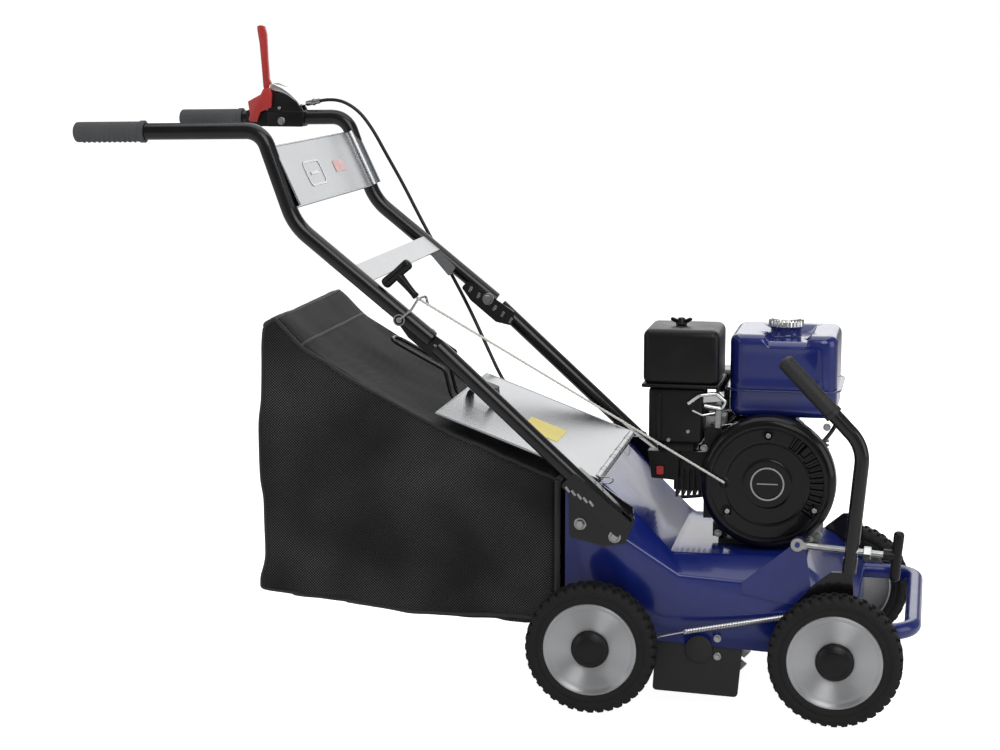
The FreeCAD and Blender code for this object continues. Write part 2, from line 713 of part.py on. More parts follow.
def depth_screw():
    x, z, face = S.screw_x, S.screw_z, -S.deck_half
    eye = cross_rod(x, z, face - 9.5, face - 3.9, 10)
    neck = box((x, face - 9.5, z - 6), (x + 15, face - 3.9, z + 4))
    shank = rod(screw_point(13.5), screw_direction(), 126, S.screw_radius)
    bore = cross_rod(x, z, face - 12, face - 2, 4.05)
    sub_part("depth_screw", cut(fuse(eye, neck, shank), bore))
    bore_radius = S.screw_radius + S.fit_gap
    nut = cut(rod(screw_point(97.5), screw_direction(), 12, 10),
              rod(screw_point(90), screw_direction(), 30, bore_radius))
    sub_part("depth_nut", nut)
    stem = rod(screw_point(127), screw_direction(), 16, 9)
    bar_ends = screw_point(147, 38), screw_point(147, -38)
    grip = strut(*bar_ends, 8)
    hole = rod(screw_point(120), screw_direction(), 20, bore_radius)
    sub_part("depth_knob", cut(fuse(stem, grip), hole))


def lift_spring():
    """A close-wound pull spring, shown as its outer sleeve, with its rod and end hooks."""
    y, wire = -S.control_y - 3.6, 2
    start, end = (137, y, 123), (292, y, 155)
    coil = strut(start, end, 4.6)
    link_rod = strut((92, y, 112), start, wire)
    hook = strut(end, (305, y, 159), wire)
    sub_part("lift_spring", fuse(coil, link_rod, hook))


# ---- wheels ----

def wheels():
    rears = {"rear": 0, "front": S.wheelbase}
    for end, x in rears.items():
        for name, side in SIDES.items():
            inner, outer = S.wheel_inner_y * side, (S.wheel_inner_y + S.tyre_width) * side
            crown, rim = S.wheel_radius, S.rim_radius
            tyre = [(rim, inner + 2 * side), (88, inner), (96, inner + 3 * side), (crown, inner + 9 * side),
                    (crown, outer - 9 * side), (96, outer - 3 * side), (88, outer), (rim, outer - 2 * side)]
            sub_part(f"tyre_{end}_{name}", turned(tyre), (x, 0, S.axle_height))
            bore = S.axle_radius + S.fit_gap
            disc = [(bore, inner), (15, inner), (15, outer - 14 * side), (26, outer - 13 * side),
                    (66, outer - 9 * side), (69, outer - 10 * side), (69, inner + 3 * side),
                    (rim, inner + 3 * side), (rim, outer - 3 * side), (68, outer - 4 * side),
                    (60, outer - 6 * side), (26, outer - 9 * side), (bore, outer - 8 * side)]
            cap = [(0, outer - 2 * side), (10, outer - 2 * side), (10, outer - 8 * side), (26, outer - 8.5 * side),
                   (S.cap_radius, outer - 7.6 * side), (S.cap_radius - 1, outer - 3 * side),
                   (20, outer + 1.5 * side), (10, outer + 2.8 * side), (0, outer + 3 * side)]
            sub_part(f"wheel_{end}_{name}", group(turned(disc), turned(cap)), (x, 0, S.axle_height))


# ---- handle ----

GRIP_RISE = 5 / 295


def grip_line(x, y):
    """A point on the axis of a handle tube's straight end."""
    return (x, y, S.grip_z + (x - S.grip_end - 4) * GRIP_RISE)


def upper_handle():
    y = -S.handle_half
    points = [grip_line(S.grip_end + 4, y), grip_line(as_size(-505), y), (-455, y, 735), (-244, y, 566)]
    tube = bent_tube(points, [34, 90], S.tube_radius, S.tube_wall)
    sub_part("upper_handle_tubes", both_sides(tube))
    sleeve = rod(grip_line(S.grip_end, y), (1, 0, GRIP_RISE), S.grip_length, S.grip_radius)
    bore = rod(grip_line(S.grip_end + 3.8, y), (1, 0, GRIP_RISE), 140, S.tube_radius + S.fit_gap)
    sub_part("handle_grips", both_sides(cut(sleeve, bore)))


def handle_panel():
    half = S.handle_half - S.tube_radius
    face = plate([(-501, 850), (-499, 850), (-457, 760), (-459, 760)], -half, half)
    sub_part("handle_panel", face)


def handle_brace():
    """A strap bent into a U: across below the handle and down along both tubes."""
    half = S.handle_half - S.tube_radius
    across = plate([(-368, 672), (-340, 650), (-338.2, 652.4), (-366, 674.4)], -half, half)
    leg = plate([(-366, 674), (-372, 664), (-322, 606), (-310, 622)], -half, -half + 2.5, (), 3)
    sub_part("handle_brace", fuse(across, leg, mirrored(leg)))


def joint_plates():
    """The height adjusters: a plate on each side of every tube joint, with its pivot bolt and a row of slots."""
    outline = [(-300, 588), (-288, 600), (-208, 548), (-212, 524), (-240, 530), (-284, 566)]
    slots = [(-284 + 14 * index, 585 - 10.4 * index, 2.6) for index in range(6)]
    low, high = S.handle_half - S.tube_radius - 4, S.handle_half - S.tube_radius - S.gap
    pivot = cross_rod(S.hinge_x, S.hinge_z, low - 6, high, 8)
    sub_part("joint_plates", both_sides(fuse(plate(outline, low, high, slots, 5), pivot)))


def clutch():
    """The belt clutch: bracket on the left tube, red lever, and the cable's adjusting sleeve."""
    y = S.handle_half
    x, z = CLUTCH_PIVOT
    low, high = y - 20, y + 17
    block = plate([(-642, 858), (-578, 858), (-574, 884), (-600, 920), (-642, 920)], low, high, (), 3)
    tube_room = rod(grip_line(as_size(-700), y), (1, 0, GRIP_RISE), 200, S.tube_radius + S.fit_gap)
    slot = box((-650, y - 8, 888), (-588, y + 8, 930))
    sleeve = rod(CABLE_ROUTE[0], (-0.98, 0, -0.196), 26, 4.5)
    pivot = cross_rod(x, z, low, high, 4)
    sub_part("clutch_bracket", group(fuse(cut(block, tube_room, slot), pivot), sleeve))
    knuckle = cross_rod(x, z, y - 7.2, y + 7.2, 14)
    blade = plate([(-642, 906), (-616, 906), (-632, 930), (-640, 960), (-646, 1030), (-662, 1032),
                   (-660, 960)], y - 4, y + 4, (), 2)
    bore = cross_rod(x, z, y - 9, y + 9, 4.05)
    sub_part("clutch_lever", cut(fuse(knuckle, blade), bore))


def rope_guide():
    """A pigtail of wire on the right tube that leads the starter rope."""
    y = -S.handle_half
    eye = bar([(-291, y - 15, 596), (-272, y - 15, 612), (-262, y - 10, 629), (-254, y + 4, 631),
               (-252, y + 12, 616)], [8, 6, 5], 1.8)
    washer = rod((-291, y - 12.75, 596), (0, -1, 0), 3, 9)
    sub_part("rope_guide", fuse(eye, washer))


def starter():
    """The recoil starter's rope, pulled tight to the guide, and its T-handle."""
    sub_part("starter_rope", group(strut(ROPE_TOP, ROPE_EXIT, 2)))
    top = Vector(*ROPE_TOP)
    stem = rod(tuple(top - STEM * 44), tuple(STEM), 42, 7)
    across = Vector(-STEM.z, 0, STEM.x).normalize()
    middle = top - STEM * 48
    grip = strut(tuple(middle - across * 27), tuple(middle + across * 27), 8.5)
    sub_part("starter_handle", fuse(stem, grip))


CLUTCH_PIVOT = (-628, 904)
ROPE_TOP = (-266, -245, 628)
ROPE_EXIT = (187, -120.5, 338)
STEM = Vector(0.45, 0, -0.52).normalize()
CABLE_ROUTE = [(-551, 245, 903), (-524, 245, 908.4), (-486, 247, 890), (-460, 250, 856), (-437, 255, 812),
               (-410, 262, 762), (-382, 265, 706), (-352, 264, 652), (-322, 262, 602), (-290, 254, 546),
               (-258, 236, 488), (-226, 222, 428), (-180, 217, 368), (-126, 217, 316), (-66, 217, 276),
               (-8, 215, 250), (48, 211, 240), (96, 207, 242), (142, 206, 250), (178.6, 206, 250)]


def clutch_cable():
    cord("clutch_cable", CABLE_ROUTE, 3)


# ---- flap and bag ----

def flap_point(distance, lift=0):
    """A point on the flap's upper face, at a distance behind its hinge."""
    slope = math.atan2(93, 252)
    x = -distance * math.cos(slope) + lift * math.sin(slope)
    return (S.flap_x + x, S.flap_z + distance * math.sin(slope) + lift * math.cos(slope))


def discharge_flap():
    half = S.flap_half
    skin = plate([flap_point(0, 4), flap_point(268, 4), flap_point(268, 2), flap_point(0, 2)], -half, half)
    pieces = [skin]
    for low, high in ((-188, -142), (-118, -42), (-18, 18), (42, 118), (142, 188)):
        pieces.append(cross_rod(S.flap_x, S.flap_z, low, high, S.flap_eye))
    bore = cross_rod(S.flap_x, S.flap_z, -half - 1, half + 1, S.flap_pin + S.gap)
    gaps = [cross_rod(S.flap_x, S.flap_z, low, high, S.flap_eye + S.gap) for low, high in KNUCKLE_GAPS]
    sub_part("discharge_flap", cut(fuse(*pieces), bore, *gaps))


KNUCKLES = ((-140, -120), (-40, -20), (20, 40), (120, 140))
KNUCKLE_GAPS = [(low - 1.5, high + 1.5) for low, high in KNUCKLES]


def flap_hinge():
    hinge_rod = cross_rod(S.flap_x, S.flap_z, -199, 199, S.flap_pin)
    knuckles = []
    for low, high in KNUCKLES:
        foot = box((-5, low, S.deck_top), (-0.5, high, S.flap_z))
        barrel = cross_rod(S.flap_x, S.flap_z, low, high, S.flap_eye)
        bore = cross_rod(S.flap_x, S.flap_z, low - 1, high + 1, S.flap_pin + S.fit_gap)
        knuckles.append(cut(fuse(foot, barrel), bore))
    sub_part("flap_hinge", group(hinge_rod, *knuckles))


def flap_handle():
    outline = [flap_point(206, 4), flap_point(206, 10), flap_point(216, 32), flap_point(248, 32),
               flap_point(258, 10), flap_point(258, 4), flap_point(250, 4), flap_point(243, 24),
               flap_point(221, 24), flap_point(214, 4)]
    sub_part("flap_handle", plate(outline, -13, 13))


def grass_bag():
    outer = [(-530, 580), (-546, 400), (-538, 201), (-551, 151), (-469, 136), (-308, 119), (-101, 118),
             (-54, 140), (-54, 350), (-242, 425), (-360, 484), (-463, 545), (-503, 590)]
    inner = [(-524, 574), (-541, 400), (-533, 200), (-544, 154), (-468, 141), (-308, 124), (-101, 123),
             (-40, 140), (-40, 340), (-243, 420), (-362, 479), (-465, 540), (-503, 584)]
    half, wall = S.bag_half, S.bag_wall
    shell = cut(plate(outer, -half, half), plate(inner, -half + wall, half - wall))
    sub_part("grass_bag", shell)


def bag_frame():
    """The wire hoop in the bag's mouth, and the carry handle on its top."""
    x, low, high, half = -62, 150, 336, 190
    posts = [strut((x, y, low), (x, y, high), 3) for y in (-half, half)]
    rails = [cross_rod(x, z, -half, half, 3) for z in (low, high)]
    legs = [(-226, 422.5), (-264, 441), (-274, 484), (-364, 531)]
    right = [(x, -20, z) for x, z in legs]
    left = [(x, 20, z) for x, z in reversed(legs)]
    loop = bar(right + left, [18, 14, 16, 16, 14, 18], 3)
    foot = plate([(-240, 424.6), (-214, 414.2), (-214, 417.4), (-240, 427.8)], -30, 30)
    sub_part("bag_frame", group(fuse(*posts, *rails), fuse(loop, foot)))


for build in (deck_housing, side_skirts, bearing_plates, front_bumper, deck_hardware, deck_brackets, screw_bracket,
              lower_handle_tubes, joint_plates, rear_axle, rotor, belt_drive, belt_guard, idler, engine_block,
              engine_shafts, recoil_housing, fan_shroud, fuel_tank, fuel_cap, air_cleaner, carburettor,
              muffler, kill_switch, front_crank, depth_lever, depth_screw, lift_spring, wheels, upper_handle,
              handle_panel, handle_brace, clutch, rope_guide, starter, clutch_cable, discharge_flap,
              flap_hinge, flap_handle, grass_bag, bag_frame):
    build()

doc.recompute()
for thing in doc.Objects:
    if "Invalid" in thing.State or "Error" in thing.State:
        raise RuntimeError(f"{thing.Label} ({thing.Name}) failed: {thing.State}")
for thing in SUB_PARTS:
    if thing.Shape.isNull() or not thing.Shape.isValid() or not thing.Shape.Solids:
        raise RuntimeError(f"{thing.Label} has no valid shape")
print(len(SUB_PARTS), "sub-parts")
os.makedirs("parts", exist_ok=True)
for thing in SUB_PARTS:
    thing.Shape.exportStep(f"parts/{thing.Label}.step")
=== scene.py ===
"""The lawn dethatcher's looks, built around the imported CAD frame. Lengths in the tables are millimetres."""
from math import atan2, cos, degrees, exp, hypot, pi, radians, sin, sqrt, tan

import bmesh
import bpy
import numpy as np
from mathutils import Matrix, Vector, noise
from mathutils.bvhtree import BVHTree


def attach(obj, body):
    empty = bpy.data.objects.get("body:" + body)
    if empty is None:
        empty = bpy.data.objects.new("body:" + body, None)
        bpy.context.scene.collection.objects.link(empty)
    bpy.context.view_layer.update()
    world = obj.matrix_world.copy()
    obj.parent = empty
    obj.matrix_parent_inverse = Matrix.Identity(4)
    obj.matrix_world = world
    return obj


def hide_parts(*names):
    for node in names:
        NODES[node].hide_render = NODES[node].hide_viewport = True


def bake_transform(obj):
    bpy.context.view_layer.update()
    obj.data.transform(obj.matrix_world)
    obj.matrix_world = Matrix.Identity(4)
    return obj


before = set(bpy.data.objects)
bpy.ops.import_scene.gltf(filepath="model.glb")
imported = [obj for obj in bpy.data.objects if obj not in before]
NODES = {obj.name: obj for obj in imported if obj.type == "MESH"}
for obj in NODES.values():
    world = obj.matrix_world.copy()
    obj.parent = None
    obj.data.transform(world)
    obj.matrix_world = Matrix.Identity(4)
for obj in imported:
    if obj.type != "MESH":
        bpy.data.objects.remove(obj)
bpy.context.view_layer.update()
REAR_AXLE_X = 156.5
MM = 0.001
RIGHT, LEFT = -1, 1
SIDES = {"right": RIGHT, "left": LEFT}
UP = Vector((0, 0, 1))
TIP = 0.01  # the radius where a turned profile meets its axis, so that its end closes
HANDLE_Y = 245  # from the middle plane to the handle tubes, the grips and the clutch lever
WHEEL_RADIUS = 100
FILLER = (269, 5)
RECOIL = (253, 338)
GUIDE_BOLT = (-291, -260.6, 596)
FLAP_HINGE_Z = 350
BAG_HALF = 196
CLOTH_FRAMES = 14
NOISE_LOW, NOISE_HIGH = 0.3, 0.7  # where nearly all of a noise texture's values lie


def at(x, y, z):
    """A point in metres, from millimetres ahead of the rear axle, to the left and above the ground."""
    return Vector(((x + REAR_AXLE_X) * MM, y * MM, z * MM))


# ---- materials ----

def add_node(tree, kind, settings=(), **inputs):
    """A shader node with its settings and inputs; an input may be another node's output."""
    made = tree.nodes.new("ShaderNode" + kind)
    for key, value in dict(settings).items():
        setattr(made, key, value)
    for key, value in inputs.items():
        socket = made.inputs[int(key[1:])] if key[1:].isdigit() else made.inputs[key.replace("_", " ")]
        if isinstance(value, bpy.types.NodeSocket):
            tree.links.new(value, socket)
        else:
            socket.default_value = value
    return made


def empty_material(name):
    made = bpy.data.materials.new(name)
    made.use_nodes = True
    tree = made.node_tree
    return made, tree, tree.nodes["Principled BSDF"]


def set_numbers(shader, metal=0.0, coat=0.0, sheen=0.0, anisotropic=0.0, specular=0.5):
    for socket, value in {"Metallic": metal, "Coat Weight": coat, "Coat Roughness": 0.06, "Sheen Weight": sheen,
                          "Anisotropic": anisotropic, "Specular IOR Level": specular}.items():
        shader.inputs[socket].default_value = value


def computed(tree, operation, *values):
    """The result of a sum on one or two values."""
    inputs = {f"_{index}": value for index, value in enumerate(values)}
    return add_node(tree, "Math", {"operation": operation}, **inputs).outputs[0]


def link_colour(tree, shader, share, first, second):
    mixed = add_node(tree, "Mix", {"data_type": "RGBA"}, _0=share, _6=(*first, 1), _7=(*second, 1))
    tree.links.new(mixed.outputs[2], shader.inputs["Base Color"])


def link_gloss(tree, shader, noise_value, rough):
    gloss = add_node(tree, "MapRange", Value=noise_value, From_Min=NOISE_LOW, From_Max=NOISE_HIGH,
                     To_Min=rough[0], To_Max=rough[1])
    tree.links.new(gloss.outputs["Result"], shader.inputs["Roughness"])


def link_bump(tree, shader, height, strength, distance):
    bumped = add_node(tree, "Bump", Height=height, Strength=strength, Distance=distance)
    tree.links.new(bumped.outputs["Normal"], shader.inputs["Normal"])


def surface(name, colour, second, rough, scale=18.0, bump=0.15, bump_scale=700.0, **numbers):
    """A material whose colour and gloss drift a little over its surface, with a fine bump."""
    made, tree, shader = empty_material(name)
    place = add_node(tree, "TexCoord").outputs["Object"]
    drift = add_node(tree, "TexNoise", Vector=place, Scale=scale, Detail=4.0).outputs["Fac"]
    share = add_node(tree, "MapRange", Value=drift, From_Min=NOISE_LOW, From_Max=NOISE_HIGH).outputs["Result"]
    link_colour(tree, shader, share, colour, second)
    link_gloss(tree, shader, drift, rough)
    fine = add_node(tree, "TexNoise", Vector=place, Scale=bump_scale, Detail=3.0).outputs["Fac"]
    link_bump(tree, shader, fine, bump, 0.0003)
    set_numbers(shader, **numbers)
    return made


def sheet_metal(name):
    """Sheet metal with long rolling lines across the machine, along Y; its light grey colour is painted
    reflection of the white surroundings on parts that are glossy black.
    """
    made, tree, shader = empty_material(name)
    along, across = 14.0, 840.0
    place = add_node(tree, "TexCoord").outputs["Object"]
    lines = add_node(tree, "Mapping", Vector=place, Scale=(across, along, across)).outputs["Vector"]
    grain = add_node(tree, "TexNoise", Vector=lines, Scale=1.0, Detail=5.0).outputs["Fac"]
    cloud = add_node(tree, "TexNoise", Vector=place, Scale=9.0, Detail=2.0).outputs["Fac"]
    # Light grey in place of glossy black: painted reflection of the white surroundings.
    link_colour(tree, shader, cloud, (0.36, 0.37, 0.385), (0.42, 0.43, 0.44))
    link_gloss(tree, shader, grain, (0.235, 0.255))
    link_bump(tree, shader, grain, 0.003, 0.0002)
    set_numbers(shader, metal=0.95)
    return made


def spun_metal(name):
    """Turned aluminium: fine rings round the piece's own middle, along Y."""
    made, tree, shader = empty_material(name)
    whole = add_node(tree, "TexCoord").outputs["Generated"]
    centred = add_node(tree, "Mapping", Vector=whole, Location=(-0.5, 0, -0.5)).outputs["Vector"]
    rings = add_node(tree, "TexWave", {"wave_type": "RINGS", "rings_direction": "Y"}, Vector=centred,
                     Scale=42.0, Distortion=0.4, Detail=2.0).outputs["Fac"]
    link_bump(tree, shader, rings, 0.22, 0.0002)
    link_colour(tree, shader, rings, (0.42, 0.43, 0.44), (0.60, 0.60, 0.61))
    round_lines = add_node(tree, "Tangent", {"direction_type": "RADIAL", "axis": "Y"}).outputs["Tangent"]
    tree.links.new(round_lines, shader.inputs["Tangent"])
    shader.inputs["Roughness"].default_value = 0.4
    shader.inputs["Anisotropic Rotation"].default_value = 0.25
    set_numbers(shader, metal=1.0, anisotropic=0.97)
    return made


def woven(name, thread, gap, pitch, rough):
    """Open plain-weave mesh, the same on faces of any direction, with patches where light comes through."""
    made, tree, shader = empty_material(name)
    place = add_node(tree, "TexCoord").outputs["Object"]
    split = add_node(tree, "SeparateXYZ", Vector=place)
    turn = 2 * pi / (pitch * MM)
    waves = [computed(tree, "SINE", computed(tree, "MULTIPLY", split.outputs[axis], turn)) for axis in "XYZ"]
    facing = add_node(tree, "SeparateXYZ", Vector=add_node(tree, "NewGeometry").outputs["Normal"])
    total = None
    for index, axis in enumerate("XYZ"):
        crossing = computed(tree, "MULTIPLY", *(waves[k] for k in range(3) if k != index))
        square = computed(tree, "MULTIPLY", facing.outputs[axis], facing.outputs[axis])
        part = computed(tree, "MULTIPLY", crossing, square)
        total = part if total is None else computed(tree, "ADD", total, part)
    hole = add_node(tree, "MapRange", Value=total, From_Min=-0.15, From_Max=0.75).outputs["Result"]
    patches = add_node(tree, "TexNoise", Vector=place, Scale=5.5, Detail=2.0).outputs["Fac"]
    lit = add_node(tree, "MapRange", Value=patches, From_Min=0.38, From_Max=0.7, To_Min=0.22, To_Max=0.9)
    link_colour(tree, shader, computed(tree, "MULTIPLY", hole, lit.outputs["Result"]), thread, gap)
    link_bump(tree, shader, total, 0.35, 0.0006)
    shader.inputs["Roughness"].default_value = rough
    set_numbers(shader, sheen=0.06, specular=0.2)
    return made


# Each surface's two colours, its roughness from and to, and its other numbers.
SURFACES = {
    "blue_paint": ((0.007, 0.016, 0.150), (0.009, 0.020, 0.175), (0.18, 0.24),
                   dict(bump=0.04, bump_scale=320, coat=0.3)),
    "tank_blue": ((0.009, 0.017, 0.140), (0.011, 0.021, 0.165), (0.14, 0.2),
                  dict(bump=0.03, bump_scale=300, coat=0.45)),
    "black_paint": ((0.004, 0.004, 0.005), (0.007, 0.007, 0.008), (0.2, 0.3),
                    dict(bump=0.08, bump_scale=500, coat=0.35, specular=0.3)),
    "zinc": ((0.36, 0.37, 0.38), (0.48, 0.48, 0.47), (0.24, 0.38), dict(scale=60, bump=0.05, metal=1.0)),
    "steel": ((0.30, 0.30, 0.31), (0.44, 0.44, 0.44), (0.28, 0.42), dict(scale=40, metal=1.0)),
    "tyre": ((0.007, 0.007, 0.007), (0.014, 0.014, 0.013), (0.62, 0.8),
             dict(scale=30, bump=0.35, bump_scale=900, specular=0.3)),
    "black_plastic": ((0.004, 0.004, 0.005), (0.008, 0.008, 0.009), (0.3, 0.42),
                      dict(bump=0.2, bump_scale=1400, specular=0.28)),
    "red_plastic": ((0.44, 0.028, 0.028), (0.54, 0.040, 0.036), (0.3, 0.42), dict(bump=0.1)),
    "rope": ((0.66, 0.64, 0.58), (0.78, 0.77, 0.72), (0.7, 0.85),
             dict(scale=220, bump=0.4, bump_scale=1800, sheen=0.3)),
    "cable": ((0.008, 0.008, 0.009), (0.014, 0.014, 0.015), (0.32, 0.42), dict(bump=0.1)),
    "grip_rubber": ((0.062, 0.065, 0.070), (0.088, 0.092, 0.098), (0.55, 0.7),
                    dict(bump=0.35, bump_scale=1200, specular=0.4)),
    "engine_casting": ((0.028, 0.028, 0.030), (0.045, 0.045, 0.047), (0.38, 0.52),
                       dict(bump=0.4, bump_scale=420, metal=0.3)),
    "cap_metal": ((0.72, 0.72, 0.72), (0.82, 0.82, 0.82), (0.14, 0.24), dict(metal=1.0, bump=0.05)),
    "black_gloss": ((0.003, 0.003, 0.004), (0.005, 0.005, 0.006), (0.2, 0.3),
                    dict(bump=0.1, bump_scale=900, coat=0.2, specular=0.22)),
    "lever_rubber": ((0.010, 0.010, 0.011), (0.018, 0.018, 0.019), (0.45, 0.6),
                     dict(bump=0.3, bump_scale=1200)),
    "badge_white": ((0.80, 0.81, 0.82), (0.86, 0.86, 0.87), (0.4, 0.5), {}),
    # Pink: red print with painted reflection of the white surroundings mixed into its colour.
    "red_label_painted_reflection": ((0.72, 0.35, 0.35), (0.80, 0.62, 0.60), (0.4, 0.5), dict(scale=70)),
    "sticker_yellow": ((0.75, 0.60, 0.06), (0.82, 0.68, 0.12), (0.35, 0.45), {}),
    "bag_tape": ((0.012, 0.012, 0.013), (0.022, 0.022, 0.024), (0.6, 0.75),
                 dict(bump=0.5, bump_scale=1500, sheen=0.2)),
    "skirt_rubber": ((0.010, 0.010, 0.010), (0.018, 0.018, 0.018), (0.55, 0.7), dict(bump=0.3)),
}
LOOKS = {name: surface(name, *tones, **numbers) for name, (*tones, numbers) in SURFACES.items()}
LOOKS["wheel_metal"] = spun_metal("wheel_metal")
LOOKS["grey_sheet"] = sheet_metal("grey_sheet")
LOOKS["bag_fabric"] = woven("bag_fabric", (0.003, 0.003, 0.0035), (0.13, 0.13, 0.132), 4.4, 0.75)
LOOKS["bag_top"] = woven("bag_top", (0.007, 0.007, 0.008), (0.07, 0.07, 0.072), 3.4, 0.7)
# The CAD solids that stay in view, by their look.
NODE_LOOKS = {
    "blue_paint": ("front_bumper", "screw_bracket"),
    "black_paint": ("deck_brackets", "lower_handle_tubes", "joint_plates", "muffler", "front_wheel_crank",
                    "depth_lever", "upper_handle_tubes", "bag_frame"),
    "steel": ("rotor_bearings", "rear_axle", "rotor_shaft", "rotor_blades", "rotor_pulley", "engine_pulley",
              "crankshaft"),
    "zinc": ("idler_arm", "carburettor", "throttle_lever", "depth_screw", "rope_guide", "flap_hinge"),
    "black_plastic": ("belt_guard", "idler_pulley", "fan_shroud", "flap_handle"),
    # These parts are glossy black; their light grey look is painted reflection of the white surroundings.
    "grey_sheet": ("handle_panel", "handle_brace", "discharge_flap"),
    "skirt_rubber": ("side_skirts",),
    "cable": ("drive_belt",),
    "engine_casting": ("engine_block",),
    "red_plastic": ("kill_switch",),
}


# ---- shapes: each is (points in metres, faces) ----

def merged(*shapes):
    points, faces = [], []
    for more_points, more_faces in shapes:
        start = len(points)
        points += list(more_points)
        faces += [[start + index for index in face] for face in more_faces]
    return points, faces


def ring_faces(rings, sides, closed=False):
    """Quads between rings of the same number of points."""
    faces = []
    for ring in range(rings if closed else rings - 1):
        here, there = ring * sides, (ring + 1) % rings * sides
        for side in range(sides):
            beside = (side + 1) % sides
            faces.append([here + side, here + beside, there + beside, there + side])
    return faces


def turn_angles(count):
    """The angles of equal steps round a full turn."""
    return [2 * pi * index / count for index in range(count)]


def clamped(*values):
    """The least of some values, kept between 0 and 1."""
    return max(0.0, min(1.0, *values))


def end_faces(sides, total):
    """The first and last rings of points, closed."""
    return [list(range(sides))[::-1], list(range(total - sides, total))]


def extruded_faces(count):
    """The sides and both ends between two outlines of the same number of points."""
    sides = [[i, (i + 1) % count, count + (i + 1) % count, count + i] for i in range(count)]
    return sides + end_faces(count, 2 * count)


def across_of(direction):
    """Two unit vectors square to a direction: one level or ahead, one as far up as it can be."""
    direction = direction.normalized()
    side = direction.cross(UP)
    if side.length < 1e-4:
        side = Vector((1, 0, 0))
    side.normalize()
    return side, side.cross(direction).normalized()


def tube(line, radius, sides):
    """A round tube on a line of points; radius is a number, or a function of the ring and of the angle."""
    line = [Vector(point) for point in line]
    runs = [(line[min(i + 1, len(line) - 1)] - line[max(i - 1, 0)]).normalized() for i in range(len(line))]
    side, _ = across_of(runs[0])
    points = []
    for ring, (centre, run) in enumerate(zip(line, runs)):
        side = (side - run * side.dot(run)).normalized()
        up = side.cross(run)
        for angle in turn_angles(sides):
            reach = radius(ring, angle) if callable(radius) else radius
            points.append(centre + (side * cos(angle) + up * sin(angle)) * reach)
    return points, ring_faces(len(line), sides) + end_faces(sides, len(points))


def lathe(profile, centre, direction, segments=64, wave=None):
    """Turns (radius, distance) pairs in millimetres about an axis; wave may change a radius by angle."""
    centre, direction = Vector(centre), Vector(direction).normalized()
    side, up = across_of(direction)
    points = []
    for radius, distance in profile:
        middle = centre + direction * distance * MM
        for angle in turn_angles(segments):
            reach = (radius + (wave(radius, angle) if wave else 0)) * MM
            points.append(middle + (side * cos(angle) + up * sin(angle)) * reach)
    return points, ring_faces(len(profile), segments, closed=True)


def prism(outline, low_y, high_y):
    """An (x, z) outline in millimetres, extruded across the machine."""
    points = [at(x, y, z) for y in (low_y, high_y) for x, z in outline]
    return points, extruded_faces(len(outline))


def block(low, high):
    """A box between two corners in millimetres."""
    (x0, y0, z0), (x1, y1, z1) = low, high
    return prism([(x0, z0), (x1, z0), (x1, z1), (x0, z1)], y0, y1)


def sloping(centre, run, across, thick, sizes):
    """A small slab: its centre in metres, three directions, and a size in millimetres along each."""
    halves = [Vector(d).normalized() * size * MM / 2 for d, size in zip((run, across, thick), sizes)]
    points = [Vector(centre) + halves[0] * a + halves[1] * b + halves[2] * c
              for a, b, c in ((-1, -1, -1), (1, -1, -1), (1, 1, -1), (-1, 1, -1),
                              (-1, -1, 1), (1, -1, 1), (1, 1, 1), (-1, 1, 1))]
    return points, [[3, 2, 1, 0], [4, 5, 6, 7], [0, 1, 5, 4], [1, 2, 6, 5], [2, 3, 7, 6], [3, 0, 4, 7]]


def rounded_line(points, bends, steps=10):
    """A bent wire's or tube's line: straight runs joined by arcs of the given radii, all in millimetres."""
    corners = [Vector(point) for point in points]
    line = [corners[0]]
    for before, corner, after, bend in zip(corners, corners[1:], corners[2:], bends):
        into, out = (corner - before).normalized(), (after - corner).normalized()
        turn = into.angle(out)
        cut = bend * tan(turn / 2)
        start, centre_way = corner - into * cut, (out - into).normalized()
        centre = corner + centre_way * (bend / cos(turn / 2))
        arm = start - centre
        axis = into.cross(out).normalized()
        for step in range(steps + 1):
            angle = turn * step / steps
            line.append(centre + arm * cos(angle) + axis.cross(arm) * sin(angle))
    line.append(corners[-1])
    return [at(*point) for point in line]


def hex_bolt(centre, direction, radius=7.0, height=5.5, washer=9.5):
    """A hexagon head with a chamfer, on a round washer, standing on a face."""
    head = [(TIP, 1.5), (radius, 1.5), (radius, height), (radius * 0.86, height + 1.2), (TIP, height + 1.2)]
    plate = [(TIP, 0), (washer, 0), (washer, 1.2), (washer - 0.5, 1.6), (TIP, 1.6)]
    return merged(lathe(head, centre, direction, 6), lathe(plate, centre, direction, 28))


def placed(name, data):
    made = bpy.data.objects.new(name, data)
    bpy.context.scene.collection.objects.link(made)
    return made


def piece(name, shape, look, body, stands_for=(), bevel=0.0, segments=2, sharp=38,
          bevel_from=None):
    """A finished mesh object: cleaned, bevelled, shaded, given its finish, and riding on its body."""
    points, faces = shape
    mesh = bpy.data.meshes.new(name)
    mesh.from_pydata([tuple(point) for point in points], [], faces)
    work = bmesh.new()
    work.from_mesh(mesh)
    bmesh.ops.remove_doubles(work, verts=work.verts, dist=2e-6)
    bmesh.ops.dissolve_degenerate(work, edges=work.edges, dist=2e-6)
    bmesh.ops.recalc_face_normals(work, faces=work.faces)
    if bevel:
        edges = [edge for edge in work.edges
                 if len(edge.link_faces) == 2 and edge.calc_face_angle(0) > radians(bevel_from or sharp)]
        bmesh.ops.bevel(work, geom=edges, offset=bevel * MM, segments=segments, profile=0.5, affect="EDGES",
                        clamp_overlap=True)
    work.to_mesh(mesh)
    work.free()
    mesh.shade_smooth()
    mesh.set_sharp_from_angle(angle=radians(sharp))
    made = placed(name, mesh)
    mesh.materials.append(LOOKS[look])
    if body:
        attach(made, body)
    if stands_for:
        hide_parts(*stands_for)
    return made


# ---- camera, lights and floor ----

